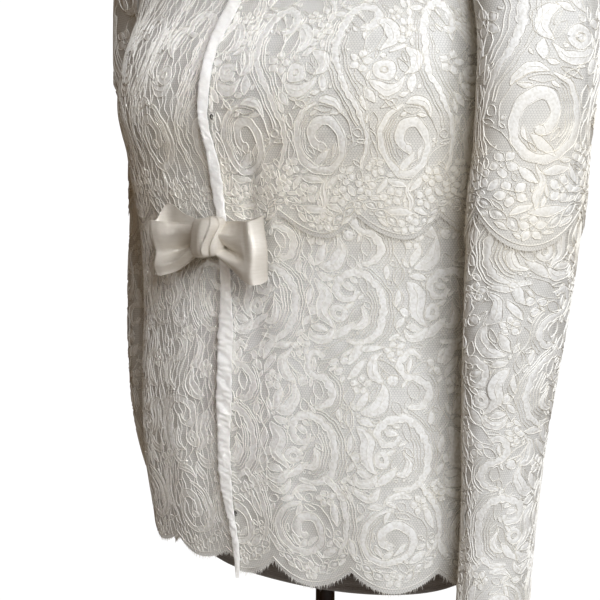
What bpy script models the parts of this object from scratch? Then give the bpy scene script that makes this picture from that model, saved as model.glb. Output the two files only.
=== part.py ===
"""A lace jacket worn by a limbless dress form on a pole stand.

Metres, +Z up, the front faces -Y and +X is the wearer's left. The origin is on the floor, under the pole.
Jacket heights are given above the hem line and lifted by HEM_HEIGHT at the end.
"""
import math

import bmesh
import bpy
import numpy as np

# Driving sizes of the jacket
HEM_HEIGHT = 0.640        # floor to the mean hem line
WAIST_LINE = 0.268        # mean lower edge of the upper lace, above the hem line
UNDERARM = 0.400          # lowest point of the armhole
NECK_POINT = (0.073, 0.609)   # where shoulder seam and neck meet: half width, height
SHOULDER_SLOPE = 0.34     # fall of the shoulder seam for each metre outwards
SHOULDER_ROUND = 0.045    # rounding of the shoulder ridge
FRONT_NECK_DROP = 0.074
BACK_NECK_DROP = 0.016
ARMHOLE = {"top": 0.568, "front": 0.046, "back": 0.056}   # top height, reach to front and back

# Cloth layers, counted outwards from the inside of the lining
CLOTH = 0.0012            # wall of the lining and of the lace
SEAM_GAP = 0.0003         # between pieces that meet
LACE_LIFT = CLOTH + SEAM_GAP
OVERLAP_LIFT = LACE_LIFT + CLOTH + SEAM_GAP   # upper lace where it lies on the lower lace
SLEEVE_SEAT = (0.0040, 0.0068)   # where a sleeve starts off the lining: at the shoulder, at the underarm

# Scallops of the lace edges
SCALLOP_REPEAT = 0.065
SCALLOP_DEPTH = 0.021
SCALLOP_ROUND = 1.4       # the higher, the rounder a scallop and the sharper its cusps
LINING_SET_BACK = 0.003   # the lining ends this far above the lace edge
STEPS_PER_SCALLOP = 4
FIRST_CUSP = {"left": 0.036, "right": 0.017}   # from the front edge along the hem
SLEEVE_SCALLOPS = 3
SLEEVE_STEPS = 6          # columns in one sleeve scallop
ELBOW_CUSP = 5            # column of the first cusp, counted from the outside of the sleeve
ELBOW_SCALLOP_DEPTH = 0.027
CUFF_SCALLOP_DEPTH = 0.014
WAIST_SCALLOP_STEPS = 3   # columns in one waist scallop
WAIST_SCALLOP_DEPTH = 0.021
WAIST_SHIFT = 2           # columns from a hem cusp to a waist cusp

# Satin
BINDING_WIDTH = 0.0100
BINDING_THICKNESS = 0.0032
BINDING_SIDES = 8
BINDING_END = 0.005       # the front binding hangs this far below the hem's edge
NECK_BINDING_HALF = 0.003
BOW_WIDTH = 0.112
BOW_HEIGHT = 0.047
BOW_LEVEL = 0.252         # knot's height above the hem line
BOW_MIDDLE = -0.006       # the knot lies a little to the wearer's right
BOW_DEPTH = 0.017         # front of the loops, out from their back
BOW_SWEEP = 0.003         # the loops' ends bend back by this
BOW_LOOP_STEPS = 15
BOW_ROWS = 5              # rows of points across a loop
BOW_END_ROUND = 0.6       # the lower, the flatter a loop's outer end
BOW_FLARE = 0.8           # the lower, the sooner a loop widens from the knot
BOW_END_DEPTH = 0.25      # how much deeper a loop is at its end
KNOT_HALF_WIDTH = 0.008
KNOT_HALF_HEIGHT = 0.011
KNOT_ROUND = 0.005
KNOT_ROUND_STEPS = 3
KNOT_PINCH = 0.7          # height of a loop at the knot, as a share of the knot's
KNOT_STANDS_OUT = 0.006   # the knot's front, out from the loops'

# Stand
POLE_RADIUS = 0.008
POLE_SIDES = 16
BASE_RADIUS = 0.170
BASE_RIM = 0.012
BASE_BEVEL = (0.006, 0.0036)      # bevel of the rim, inwards and downwards
BASE_CONE = (0.030, 0.003)        # the top rises towards the boss over this width, by this height
BASE_SIDES = 40
BOSS_RADIUS = 0.020
BOSS_HEIGHT = 0.050
BOSS_FOOT = 0.010         # height of the boss's foot above the rim
BOSS_BEVEL = 0.003
CAP_THICKNESS = 0.008
CAP_BEVEL = 0.0028
CAP_SIDES = 24


class Table:
    """Rows of sizes with named columns, read at any place along the first column on a smooth curve."""

    def __init__(self, columns, rows):
        self.columns = dict(zip(columns, np.array(rows, dtype=float).T))
        self.places = self.columns[columns[0]]

    def at(self, column, place):
        place = np.asarray(place, dtype=float)
        values = self.columns[column]
        slopes = np.gradient(values, self.places)
        i = np.clip(np.searchsorted(self.places, place) - 1, 0, len(self.places) - 2)
        step = self.places[i + 1] - self.places[i]
        t = np.clip((place - self.places[i]) / step, 0.0, 1.0)
        return ((1 + 2 * t) * (1 - t) ** 2 * values[i] + t * (1 - t) ** 2 * step * slopes[i]
                + t * t * (3 - 2 * t) * values[i + 1] - t * t * (1 - t) * step * slopes[i + 1])


# Cross sections of the jacket's body: half width, reach to front and back, and how square each is
BODY = Table(
    ("height", "half_width", "front", "back", "front_square", "back_square"),
    ((-0.030, 0.1610, 0.1030, 0.1210, 2.20, 2.2),
     (0.000, 0.1630, 0.1035, 0.1220, 2.20, 2.2),
     (0.060, 0.1660, 0.1140, 0.1235, 2.20, 2.2),
     (0.125, 0.1680, 0.1175, 0.1230, 2.20, 2.2),
     (0.198, 0.1690, 0.1140, 0.1190, 2.20, 2.2),
     (0.268, 0.1720, 0.1165, 0.1150, 2.25, 2.2),
     (0.313, 0.1745, 0.1250, 0.1120, 2.35, 2.2),
     (0.355, 0.1765, 0.1360, 0.1100, 2.45, 2.2),
     (0.394, 0.1755, 0.1290, 0.1095, 2.40, 2.2),
     (0.438, 0.1780, 0.1000, 0.1080, 2.30, 2.2),
     (0.480, 0.1860, 0.0840, 0.1060, 2.20, 2.2),
     (0.521, 0.1950, 0.0730, 0.1000, 2.20, 2.2),
     (0.568, 0.2000, 0.0640, 0.0880, 2.20, 2.2),
     (0.609, 0.2000, 0.0580, 0.0740, 2.20, 2.2)))

# Cross sections of the sleeves below the armhole: middle, and half sizes sideways and front to back
SLEEVE_COLUMNS = ("fall", "height", "x", "y", "half_side", "half_front")
SLEEVES = {
    "left": Table(SLEEVE_COLUMNS, (
        (0, 0.375, 0.2190, -0.026, 0.0355, 0.0530),
        (1, 0.340, 0.2180, -0.030, 0.0335, 0.0510),
        (2, 0.268, 0.2140, -0.034, 0.0320, 0.0500),
        (3, 0.200, 0.2080, -0.034, 0.0290, 0.0460),
        (4, 0.130, 0.2010, -0.034, 0.0250, 0.0390),
        (5, 0.070, 0.1965, -0.033, 0.0225, 0.0330),
        (6, 0.010, 0.1945, -0.036, 0.0215, 0.0310),
        (7, -0.045, 0.1940, -0.039, 0.0220, 0.0320))),
    "right": Table(SLEEVE_COLUMNS, (
        (0, 0.375, -0.2170, 0.030, 0.0340, 0.0520),
        (1, 0.340, -0.2170, 0.044, 0.0330, 0.0510),
        (2, 0.268, -0.2140, 0.042, 0.0320, 0.0490),
        (3, 0.200, -0.2080, 0.028, 0.0290, 0.0460),
        (4, 0.130, -0.2010, 0.013, 0.0250, 0.0390),
        (5, 0.070, -0.1965, 0.010, 0.0225, 0.0330),
        (6, 0.010, -0.1945, 0.027, 0.0215, 0.0310),
        (7, -0.045, -0.1940, 0.056, 0.0220, 0.0320)))}

# The largest folds of each panel: distance from the centre line, lowest and highest point, half width, rise
FOLDS = {
    "left": ((0.024, 0.130, 0.345, 0.011, -0.0030),
             (0.048, -0.060, 0.230, 0.016, 0.0030),
             (0.120, -0.080, 0.200, 0.022, 0.0035)),
    "right": ((0.050, -0.060, 0.230, 0.018, 0.0030),
              (0.115, -0.080, 0.210, 0.022, 0.0030)),
    "back": ((0.060, -0.080, 0.240, 0.024, 0.0035),
             (0.140, -0.080, 0.200, 0.024, 0.0030))}

# The dress form's sections as shares of the jacket's, and how far back their middles lie
FORM_FILL = Table(
    ("height", "wide", "deep", "set_back"),
    ((-0.030, 0.520, 0.520, 0.015),
     (-0.026, 0.690, 0.710, 0.015),
     (-0.014, 0.800, 0.810, 0.012),
     (0.010, 0.850, 0.865, 0.008),
     (0.050, 0.870, 0.880, 0.003),
     (0.100, 0.860, 0.880, 0.000),
     (0.200, 0.810, 0.830, 0.000),
     (0.268, 0.800, 0.820, 0.000),
     (0.355, 0.945, 0.955, 0.000),
     (0.438, 0.965, 0.965, 0.000),
     (0.495, 0.985, 0.990, 0.000),
     (0.540, 0.980, 0.987, 0.000),
     (0.568, 0.955, 0.935, 0.000),
     (0.609, 0.860, 0.800, 0.000)))
FORM_BOTTOM = -0.031
FORM_DROP = 0.003         # the form's shoulders lie this far below the cloth
FORM_SIDES = 32
FORM_ROWS = (-0.030, -0.026, -0.014, 0.010, 0.050, 0.110, 0.170, 0.220, 0.268, 0.310, 0.355, 0.390,
             0.430, 0.465, 0.500, 0.530, 0.552, 0.568, 0.583)
# The form's neck: height, half width, half depth and how far back its middle lies
NECK_ROWS = ((0.599, 0.063, 0.056, 0.005), (0.620, 0.055, 0.052, 0.006), (0.672, 0.053, 0.051, 0.006))

# Rows of every body panel: heights up to the chest line, then shares of the way up the armhole
LOWER_ROWS = (0.030, 0.080, 0.135, 0.190, 0.240, 0.290, 0.328, 0.366, UNDERARM)
TOP_ROWS = (0.16, 0.33, 0.50, 0.67, 0.83, 0.94, 1.00)
LAP_TOP = 0.290           # height where the body's lower lace ends
NECK_SHARE = 0.45         # about this share of a half panel's columns ends at the neck
NECK_CURVE = 1.7          # roundness of the neckline
ARMHOLE_PULL = 3          # how closely the columns near the armhole follow it
RING_SAMPLES = 240        # points on a quarter ring when its length is measured
HALVINGS = 40             # steps of the search for the armhole's half width

# Rows of the sleeves: shares of the sleeve head, then falls down the sleeve table
SLEEVE_HEAD_FULL = 0.64   # how far the sleeve head bulges over the shoulder
HEAD_ROWS = (0.0, 0.12, 0.30, 0.52, 0.76)
ARM_ROWS = (0.0, 1.0, 1.5, 2.28, 3.0, 4.0, 5.0, 6.0, 7.0)
ELBOW_FALL = 2.0          # mean lower edge of the upper sleeve lace, in rows of the sleeve table
ELBOW_LAP_ROW = 6         # row of the sleeve where its lower lace ends, from the cuff

MATERIALS = {
    "ivory_lace": ((0.86, 0.84, 0.79), 0.80, 0.0),
    "grey_lining": ((0.74, 0.73, 0.71), 0.45, 0.0),
    "ivory_satin": ((0.86, 0.83, 0.77), 0.35, 0.0),
    "taupe_jersey": ((0.16, 0.13, 0.11), 0.90, 0.0),
    "dark_wood": ((0.07, 0.03, 0.02), 0.40, 0.0),
    "black_metal": ((0.03, 0.03, 0.03), 0.45, 0.6)}


def ridge_height(x):
    """Height of the shoulder ridge at a distance from the middle."""
    return NECK_POINT[1] - (np.abs(x) - NECK_POINT[0]) * SHOULDER_SLOPE


def shoulder_rounding(x, height):
    """Share of the full reach that is left just below the shoulder ridge."""
    below_ridge = np.clip((ridge_height(x) - height) / SHOULDER_ROUND, 0.0, 1.0)
    return np.sqrt(1.0 - (1.0 - below_ridge) ** 2)


def body_reach(x, height, facing):
    """How far the cloth lies from the side line, to the front (facing -1) or to the back (facing 1)."""
    face = "front" if facing < 0 else "back"
    square = BODY.at(face + "_square", height)
    share = np.clip(np.abs(x) / BODY.at("half_width", height), 0.0, 1.0)
    return BODY.at(face, height) * (1.0 - share ** square) ** (1.0 / square) * shoulder_rounding(x, height)


def surface(angle, height, facing):
    """Points of the body by their angle from the centre line, a right angle being the side seam."""
    face = "front" if facing < 0 else "back"
    power = 2.0 / BODY.at(face + "_square", height)
    x = BODY.at("half_width", height) * np.sin(angle) ** power
    y = facing * BODY.at(face, height) * np.abs(np.cos(angle)) ** power * shoulder_rounding(x, height)
    return np.stack((x, y, height + 0.0 * x), axis=-1)


def angle_of(x, height, facing):
    """The angle from the centre line of a point at a half width."""
    square = BODY.at("front_square" if facing < 0 else "back_square", height)
    return np.arcsin(np.clip(x / BODY.at("half_width", height), 0.0, 1.0) ** (square / 2.0))


def quarter_ring(height, facing):
    """Angles of close points round a quarter of the body, and the way to each from the centre line."""
    angle = np.linspace(0.0, math.pi / 2, RING_SAMPLES)
    ring = surface(angle, np.full_like(angle, height), facing)
    return angle, np.concatenate(([0.0], np.cumsum(np.linalg.norm(np.diff(ring, axis=0), axis=1))))


def ring_angles(height, shares, facing):
    """Angles of a quarter ring's points, by their shares of its length from the centre line to the side."""
    angle, travel = quarter_ring(height, facing)
    return np.interp(shares * travel[-1], travel, angle)


def armhole_points(angle, facing):
    """Armhole edge, by its angle from the shoulder point: half width, depth and height."""
    middle = (ARMHOLE["top"] + UNDERARM) / 2
    half = (ARMHOLE["top"] - UNDERARM) / 2
    height = middle + half * np.cos(angle)
    depth = ARMHOLE["front" if facing < 0 else "back"] * np.sin(angle)
    low = np.zeros_like(height)
    high = np.full_like(height, BODY.at("half_width", ARMHOLE["top"]))
    for _ in range(HALVINGS):
        x = (low + high) / 2
        outside = body_reach(x, height, facing) <= depth
        high = np.where(outside, x, high)
        low = np.where(outside, low, x)
    return x, facing * depth, height


def neck_share(shares):
    """Share of the column that meets the shoulder seam at the neck."""
    return shares[np.argmin(np.abs(shares - NECK_SHARE))]


def top_edge(shares, facing):
    """Upper edge of a half panel, along the neck and the shoulder seam: angles and heights."""
    drop = FRONT_NECK_DROP if facing < 0 else BACK_NECK_DROP
    corner = neck_share(shares)
    around_neck = np.clip(shares / corner, 0.0, 1.0)
    along = np.clip((shares - corner) / (1.0 - corner), 0.0, 1.0)
    shoulder_height = NECK_POINT[1] + (ARMHOLE["top"] - NECK_POINT[1]) * along
    at_neck = shares <= corner
    height = np.where(at_neck, NECK_POINT[1] - drop * (1 - around_neck ** NECK_CURVE), shoulder_height)
    x = np.where(at_neck, NECK_POINT[0] * around_neck,
                 NECK_POINT[0] + (NECK_POINT[1] - shoulder_height) / SHOULDER_SLOPE)
    return angle_of(x, height, facing), height


def chest_patch(shares, rise, facing):
    """Angles and heights of the cloth above the chest line: straight columns, drawn in beside the armhole."""
    bottom = np.stack((ring_angles(UNDERARM, shares, facing), np.full_like(shares, UNDERARM)))
    top = np.stack(top_edge(shares, facing))
    columns = (1 - rise) * bottom + rise * top
    arm_x, _, arm_height = armhole_points(np.array([math.pi * (1.0 - rise)]), facing)
    armhole = np.stack((angle_of(arm_x, arm_height, facing), arm_height))
    return columns + shares ** ARMHOLE_PULL * (armhole - columns[:, -1:])


def scallop(phase, depth=SCALLOP_DEPTH):
    """Height of a scalloped edge about its mean, with cusps at whole phases."""
    across = np.abs(2.0 * np.mod(phase, 1.0) - 1.0)
    mean = 1.0 / (1.0 + SCALLOP_ROUND)
    return depth * (across ** SCALLOP_ROUND - mean)


def scallop_shares(first_cusp, length):
    """Columns of a half panel, evenly between cusps, and the scallop phase of each."""
    step = SCALLOP_REPEAT / STEPS_PER_SCALLOP
    before = np.linspace(0.0, first_cusp, math.ceil(first_cusp / step), endpoint=False)
    after = np.arange(first_cusp, length - step / 2, step)
    distance = np.concatenate((before, after, [length]))
    return distance / length, (distance - first_cusp) / SCALLOP_REPEAT


def fold_rise(panel, distance, height):
    """How far the folds lift the cloth of a panel."""
    rise = np.zeros(np.broadcast(distance, height).shape)
    for centre, low, high, half_width, lift in FOLDS[panel]:
        along = np.clip((height - low) / (high - low), 0.0, 1.0)
        rise = rise + lift * np.sin(math.pi * along) ** 2 * np.exp(-((distance - centre) / half_width) ** 2)
    return rise


def unit(vectors):
    return vectors / np.linalg.norm(vectors, axis=-1, keepdims=True)


def half_panel(panel, facing):
    """Inside points of a half panel and their outward directions: rows from hem to top, columns to the side."""
    length = quarter_ring(0.0, facing)[1][-1]
    shares, phase = scallop_shares(FIRST_CUSP.get(panel, 0.0), length)
    hem_angles = ring_angles(0.0, shares, facing)
    points = [surface(hem_angles, scallop(phase), facing)]
    for height in LOWER_ROWS:
        points.append(surface(ring_angles(height, shares, facing), np.full_like(shares, height), facing))
    for rise in TOP_ROWS:
        points.append(surface(*chest_patch(shares, rise, facing), facing))
    points = np.array(points)
    points[:, 0, 0] = 0.0
    side_rows = slice(0, len(LOWER_ROWS) + 1)
    points[side_rows, -1, 1] = 0.0
    on_shoulder = shares >= neck_share(shares)
    points[-1, on_shoulder, 1] = 0.0
    outward = np.cross(np.gradient(points, axis=1), np.gradient(points, axis=0)) * -facing
    outward[:, 0, 0] = 0.0
    outward[side_rows, -1, 1] = 0.0
    outward[-1, on_shoulder, 1] = 0.0
    outward = unit(outward)
    rise = fold_rise(panel, shares * length, points[..., 2])
    points = points + outward * rise[..., None]
    points[:, 0, 0] += SEAM_GAP / 2 if facing < 0 else 0.0
    points[side_rows, -1, 1] += facing * SEAM_GAP / 2
    points[-1, on_shoulder, 1] += facing * SEAM_GAP / 2
    return points, outward, phase


def mirrored(panel):
    """The same half panel on the wearer's right."""
    points, outward, phase = panel
    flip = np.array((-1.0, 1.0, 1.0))
    return points[:, ::-1] * flip, outward[:, ::-1] * flip, phase[::-1]


def body_panels():
    """The three panels of the jacket's body: points, outward directions and scallop phases."""
    back = half_panel("back", 1)
    back_points, back_outward, back_phase = mirrored(back)
    whole_back = (np.concatenate((back_points[:, :-1], back[0]), axis=1),
                  np.concatenate((back_outward[:, :-1], back[1]), axis=1),
                  np.concatenate((back_phase[:-1], back[2])))
    return {"front_left": half_panel("left", -1),
            "front_right": mirrored(half_panel("right", -1)),
            "back": whole_back}


def armhole_loop(side):
    """Where a sleeve starts: points round the armhole, clear of the body's lace."""
    columns = SLEEVE_SCALLOPS * SLEEVE_STEPS
    turn = np.arange(columns) * 2 * math.pi / columns
    sign = 1.0 if side == "left" else -1.0
    loop = np.empty((columns, 3))
    for facing, panel in ((-1, side), (1, "back")):
        inside = turn <= math.pi if facing < 0 else turn > math.pi
        angle = turn[inside] if facing < 0 else 2 * math.pi - turn[inside]
        edge = half_panel(panel, facing)[1][len(LOWER_ROWS):, -1]
        edge_angle = math.pi * (1.0 - np.array((0.0,) + TOP_ROWS))
        seat = np.column_stack([np.interp(-angle, -edge_angle, edge[:, k]) for k in range(3)])
        lift = SLEEVE_SEAT[0] + (SLEEVE_SEAT[1] - SLEEVE_SEAT[0]) * (1 - np.cos(angle)) / 2
        loop[inside] = np.column_stack(armhole_points(angle, facing)) + unit(seat) * lift[:, None]
    return loop * np.array((sign, 1.0, 1.0)), turn


def sleeve_grid(side):
    """Inside points of a sleeve with their outward directions: rows from the cuff up, columns round it."""
    table = SLEEVES[side]
    sign = 1.0 if side == "left" else -1.0
    start, turn = armhole_loop(side)
    phase = (np.arange(len(turn)) - ELBOW_CUSP) / SLEEVE_STEPS

    def ring(fall, lift=0.0):
        return np.column_stack((table.at("x", fall) + sign * table.at("half_side", fall) * np.cos(turn),
                                table.at("y", fall) - table.at("half_front", fall) * np.sin(turn),
                                table.at("height", fall) + lift + 0.0 * turn))

    rows = [ring(ARM_ROWS[-1], scallop(phase, CUFF_SCALLOP_DEPTH))]
    rows += [ring(fall) for fall in ARM_ROWS[-2::-1]]
    end = rows[-1]
    reach = np.linalg.norm(end - start, axis=1, keepdims=True)
    droop = (1.0 - np.cos(turn[:, None])) / 2
    along_shoulder = unit(np.array((sign, 0.0, -SHOULDER_SLOPE)))
    leave = reach * SLEEVE_HEAD_FULL * unit((1.0 - droop) * along_shoulder + droop * (end - start) / reach)
    arrive = reach * np.array((0.0, 0.0, -1.0))
    for t in HEAD_ROWS[::-1]:
        rows.append((1 + 2 * t) * (1 - t) ** 2 * start + t * (1 - t) ** 2 * leave
                    + t * t * (3 - 2 * t) * end - t * t * (1 - t) * arrive)
    points = np.array(rows)
    around = np.roll(points, -1, axis=1) - np.roll(points, 1, axis=1)
    outward = unit(np.cross(around, np.gradient(points, axis=0)) * -sign)
    return points, outward, phase


def row_at(grid, heights):
    """Points and outward directions of a grid's columns at given heights."""
    points, outward, _ = grid
    columns = np.arange(points.shape[1])
    rising = np.maximum.accumulate(points[..., 2], axis=0)
    place = np.array([np.interp(heights[c], rising[:, c], np.arange(len(points))) for c in columns])
    low = np.minimum(place.astype(int), len(points) - 2)
    t = (place - low)[:, None]
    return [values[low, columns] * (1 - t) + values[low + 1, columns] * t for values in (points, outward)]


def new_object(name, points, faces, finish):
    """A mesh object with its faces turned outwards and its own material, carried by the hem line's empty."""
    mesh = bpy.data.meshes.new(name)
    mesh.from_pydata([tuple(map(float, point)) for point in points], [], faces)
    work = bmesh.new()
    work.from_mesh(mesh)
    bmesh.ops.recalc_face_normals(work, faces=work.faces[:])
    work.to_mesh(mesh)
    work.free()
    mesh.shade_smooth()
    mesh.set_sharp_from_angle(angle=math.radians(50))
    mesh.materials.append(finish_of(finish))
    thing = bpy.data.objects.new(name, mesh)
    bpy.context.collection.objects.link(thing)
    return thing


def finish_of(name):
    """The material of that name, made on first use."""
    if name in bpy.data.materials:
        return bpy.data.materials[name]
    colour, roughness, metallic = MATERIALS[name]
    material = bpy.data.materials.new(name)
    material.use_nodes = True
    shader = material.node_tree.nodes["Principled BSDF"]
    shader.inputs["Base Color"].default_value = (*colour, 1.0)
    shader.inputs["Roughness"].default_value = roughness
    shader.inputs["Metallic"].default_value = metallic
    return material


def wall(name, inner, outer, finish, closed):
    """A cloth wall between two grids of points, round a tube where it is closed."""
    rows, columns, _ = inner.shape
    across = columns if closed else columns - 1

    def corner(layer, row, column):
        return (layer * rows + row) * columns + column % columns

    faces = []
    for column in range(across):
        for row in range(rows - 1):
            quad = ((row, column), (row, column + 1), (row + 1, column + 1), (row + 1, column))
            faces.append([corner(1, *place) for place in quad])
            faces.append([corner(0, *quad[k]) for k in (0, 3, 2, 1)])
        for row in (0, rows - 1):
            faces.append([corner(0, row, column), corner(0, row, column + 1),
                          corner(1, row, column + 1), corner(1, row, column)])
    for column in () if closed else (0, columns - 1):
        for row in range(rows - 1):
            faces.append([corner(0, row, column), corner(0, row + 1, column),
                          corner(1, row + 1, column), corner(1, row, column)])
    return new_object(name, np.concatenate((inner.reshape(-1, 3), outer.reshape(-1, 3))), faces, finish)


def cloth(name, rows, lifts, finish, closed):
    """A cloth wall through rows of points, each lifted off them along their outward directions."""
    points = np.array([row[0] for row in rows])
    outward = np.array([row[1] for row in rows])
    lifts = np.array(lifts)[:, None, None]
    return wall(name, points + outward * lifts, points + outward * (lifts + CLOTH), finish, closed)


def layered_cloth(place, grid, lap_heights, lap_row, closed):
    """Lining, lower lace and upper lace of one panel or sleeve. The upper lace laps over the lower one."""
    points, outward, _ = grid
    rows = list(zip(points, outward))
    lining = [row_at(grid, points[0, :, 2] + LINING_SET_BACK)] + rows[1:]
    lower = rows[:lap_row + 1]
    upper = [row_at(grid, lap_heights)] + rows[lap_row:]
    upper_lifts = [OVERLAP_LIFT, OVERLAP_LIFT] + [LACE_LIFT] * (len(upper) - 2)
    return [cloth("lining_" + place, lining, [0.0] * len(lining), "grey_lining", closed),
            cloth("lower_lace_" + place, lower, [LACE_LIFT] * len(lower), "ivory_lace", closed),
            cloth("upper_lace_" + place, upper, upper_lifts, "ivory_lace", closed)]


def tube(name, middles, across, out, half_across, half_out, finish):
    """A soft strip of oval section along a path, with closed ends."""
    angle = np.arange(BINDING_SIDES) * 2 * math.pi / BINDING_SIDES
    rings = (middles[:, None] + across[:, None] * (half_across * np.cos(angle))[None, :, None]
             + out[:, None] * (half_out * np.sin(angle))[None, :, None])
    count = len(middles)
    faces = [list(range(BINDING_SIDES)), [(count - 1) * BINDING_SIDES + k for k in range(BINDING_SIDES)]]
    for ring in range(count - 1):
        for k in range(BINDING_SIDES):
            after = (k + 1) % BINDING_SIDES
            faces.append([ring * BINDING_SIDES + k, ring * BINDING_SIDES + after,
                          (ring + 1) * BINDING_SIDES + after, (ring + 1) * BINDING_SIDES + k])
    return new_object(name, rings.reshape(-1, 3), faces, finish)


def binding_lift(height):
    """How far the underside of the front binding lies out from the inside of the lining."""
    row = LOWER_ROWS.index(LAP_TOP)
    lace = LACE_LIFT + CLOTH
    lapped = OVERLAP_LIFT + CLOTH
    return np.interp(height, LOWER_ROWS[row - 2:row + 2], (lace, lapped, lapped, lace)) + SEAM_GAP


def front_binding(panel):
    """The satin binding down the front edge, from the neck to just below the hem."""
    points, outward, _ = panel
    heights = np.concatenate(([points[0, 0, 2] - BINDING_END], points[1:, 0, 2]))
    middles, out = points[:, 0].copy(), outward[:, 0]
    middles[:, 0] = 0.0
    middles[0, 2] -= BINDING_END
    middles = middles + out * (binding_lift(heights) + BINDING_THICKNESS / 2)[:, None]
    across = np.tile((1.0, 0.0, 0.0), (len(middles), 1))
    return tube("front_binding", middles, across, out, BINDING_WIDTH / 2, BINDING_THICKNESS / 2, "ivory_satin")


def neck_binding(panels):
    """The satin binding round the neck, on the panels' upper edges."""
    edge, out = [], []
    for name, beyond in (("front_left", SEAM_GAP), ("back", -SEAM_GAP), ("front_right", SEAM_GAP)):
        points, outward, _ = panels[name]
        columns = np.flatnonzero(np.abs(points[-1, :, 0]) < NECK_POINT[0] + beyond)
        if name == "back":
            columns = columns[::-1]
        edge.append(points[-1, columns])
        out.append(outward[-1, columns])
    edge, out = np.concatenate(edge), np.concatenate(out)
    inwards = unit(np.cross(out, np.gradient(edge, axis=0)))
    middles = edge + inwards * (NECK_BINDING_HALF + SEAM_GAP) + out * (LACE_LIFT + CLOTH) / 2
    return tube("neck_binding", middles, inwards, out, NECK_BINDING_HALF, BINDING_THICKNESS / 2, "ivory_satin")


def bow():
    """The satin bow on the front edge: two folded loops and the knot between them."""
    level = BOW_LEVEL
    back = -(body_reach(0.0, level, -1) + binding_lift(level) + BINDING_THICKNESS + SEAM_GAP)
    travel = np.linspace(0.0, 1.0, BOW_LOOP_STEPS)
    high = np.linspace(-1.0, 1.0, BOW_ROWS)
    start = KNOT_HALF_WIDTH + SEAM_GAP
    pinched = KNOT_HALF_HEIGHT * KNOT_PINCH
    things = []
    for name, sign in (("bow_loop_left", 1.0), ("bow_loop_right", -1.0)):
        reach = np.sin(math.pi * travel) ** BOW_END_ROUND
        x = start + (BOW_WIDTH / 2 - start) * reach
        swing = np.cos(math.pi * travel) * (1.0 - BOW_END_DEPTH * (1.0 - reach))
        out = BOW_DEPTH * (1.0 + swing) / 2 - BOW_SWEEP * reach ** 2
        half = pinched + (BOW_HEIGHT / 2 - pinched) * reach ** BOW_FLARE
        path = np.column_stack((BOW_MIDDLE + sign * x, back - CLOTH - out, np.zeros_like(x)))
        along = np.gradient(path, axis=0)
        aside = unit(np.column_stack((-along[:, 1], along[:, 0], np.zeros_like(x)))) * -sign
        centre = path[:, None] + np.array((0.0, 0.0, 1.0)) * (level + half[:, None] * high[None])[..., None]
        inner = centre + aside[:, None] * (CLOTH / 2)
        outer = centre - aside[:, None] * (CLOTH / 2)
        things.append(wall(name, inner, outer, "ivory_satin", closed=False))
    things.append(bow_knot(back - CLOTH, level))
    return things


def bow_knot(back, level):
    """The rounded knot in the middle of the bow."""
    shape = bmesh.new()
    bmesh.ops.create_cube(shape, size=1.0)
    depth = BOW_DEPTH + KNOT_STANDS_OUT
    size = (2 * KNOT_HALF_WIDTH, depth, 2 * KNOT_HALF_HEIGHT)
    for corner in shape.verts:
        corner.co = [co * length for co, length in zip(corner.co, size)]
        corner.co.x += BOW_MIDDLE
        corner.co.y += back - depth / 2
        corner.co.z += level
    bmesh.ops.bevel(shape, geom=shape.edges[:], offset=KNOT_ROUND, segments=KNOT_ROUND_STEPS,
                    profile=0.5, affect="EDGES")
    points = [tuple(corner.co) for corner in shape.verts]
    shape.verts.index_update()
    faces = [[corner.index for corner in face.verts] for face in shape.faces]
    shape.free()
    return new_object("bow_knot", points, faces, "ivory_satin")


def form_ring(height):
    """One ring of the dress form: the jacket's section a little higher up, drawn in by the form's shares."""
    turn = np.arange(FORM_SIDES) * 2 * math.pi / FORM_SIDES
    if height >= NECK_ROWS[0][0]:
        wide, deep, centre = next(row[1:] for row in NECK_ROWS if row[0] == height)
        return np.column_stack((wide * np.sin(turn), centre - deep * np.cos(turn), np.full_like(turn, height)))
    cloth_height = height + FORM_DROP
    ridge = NECK_POINT[0] + (NECK_POINT[1] - cloth_height) / SHOULDER_SLOPE
    limit = min(BODY.at("half_width", cloth_height), ridge)
    power = 2.0 / BODY.at("back_square", cloth_height)
    x = limit * np.sign(np.sin(turn)) * np.abs(np.sin(turn)) ** power
    y = np.where(np.cos(turn) > 0, -body_reach(x, cloth_height, -1), body_reach(x, cloth_height, 1))
    return np.column_stack((x * FORM_FILL.at("wide", height),
                            y * FORM_FILL.at("deep", height) + FORM_FILL.at("set_back", height),
                            np.full_like(turn, height)))


def dress_form():
    """The limbless torso with its neck, closed and rounded below."""
    rings = [form_ring(height) for height in FORM_ROWS + tuple(row[0] for row in NECK_ROWS)]
    points = [(0.0, FORM_FILL.at("set_back", FORM_BOTTOM), FORM_BOTTOM)] + [point for ring in rings for point in ring]
    faces = [[0, 1 + (k + 1) % FORM_SIDES, 1 + k] for k in range(FORM_SIDES)]
    for ring in range(len(rings) - 1):
        for k in range(FORM_SIDES):
            first = 1 + ring * FORM_SIDES
            after = (k + 1) % FORM_SIDES
            faces.append([first + k, first + after, first + FORM_SIDES + after, first + FORM_SIDES + k])
    faces.append([1 + (len(rings) - 1) * FORM_SIDES + k for k in range(FORM_SIDES)])
    return new_object("form_torso", points, faces, "taupe_jersey")


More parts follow.
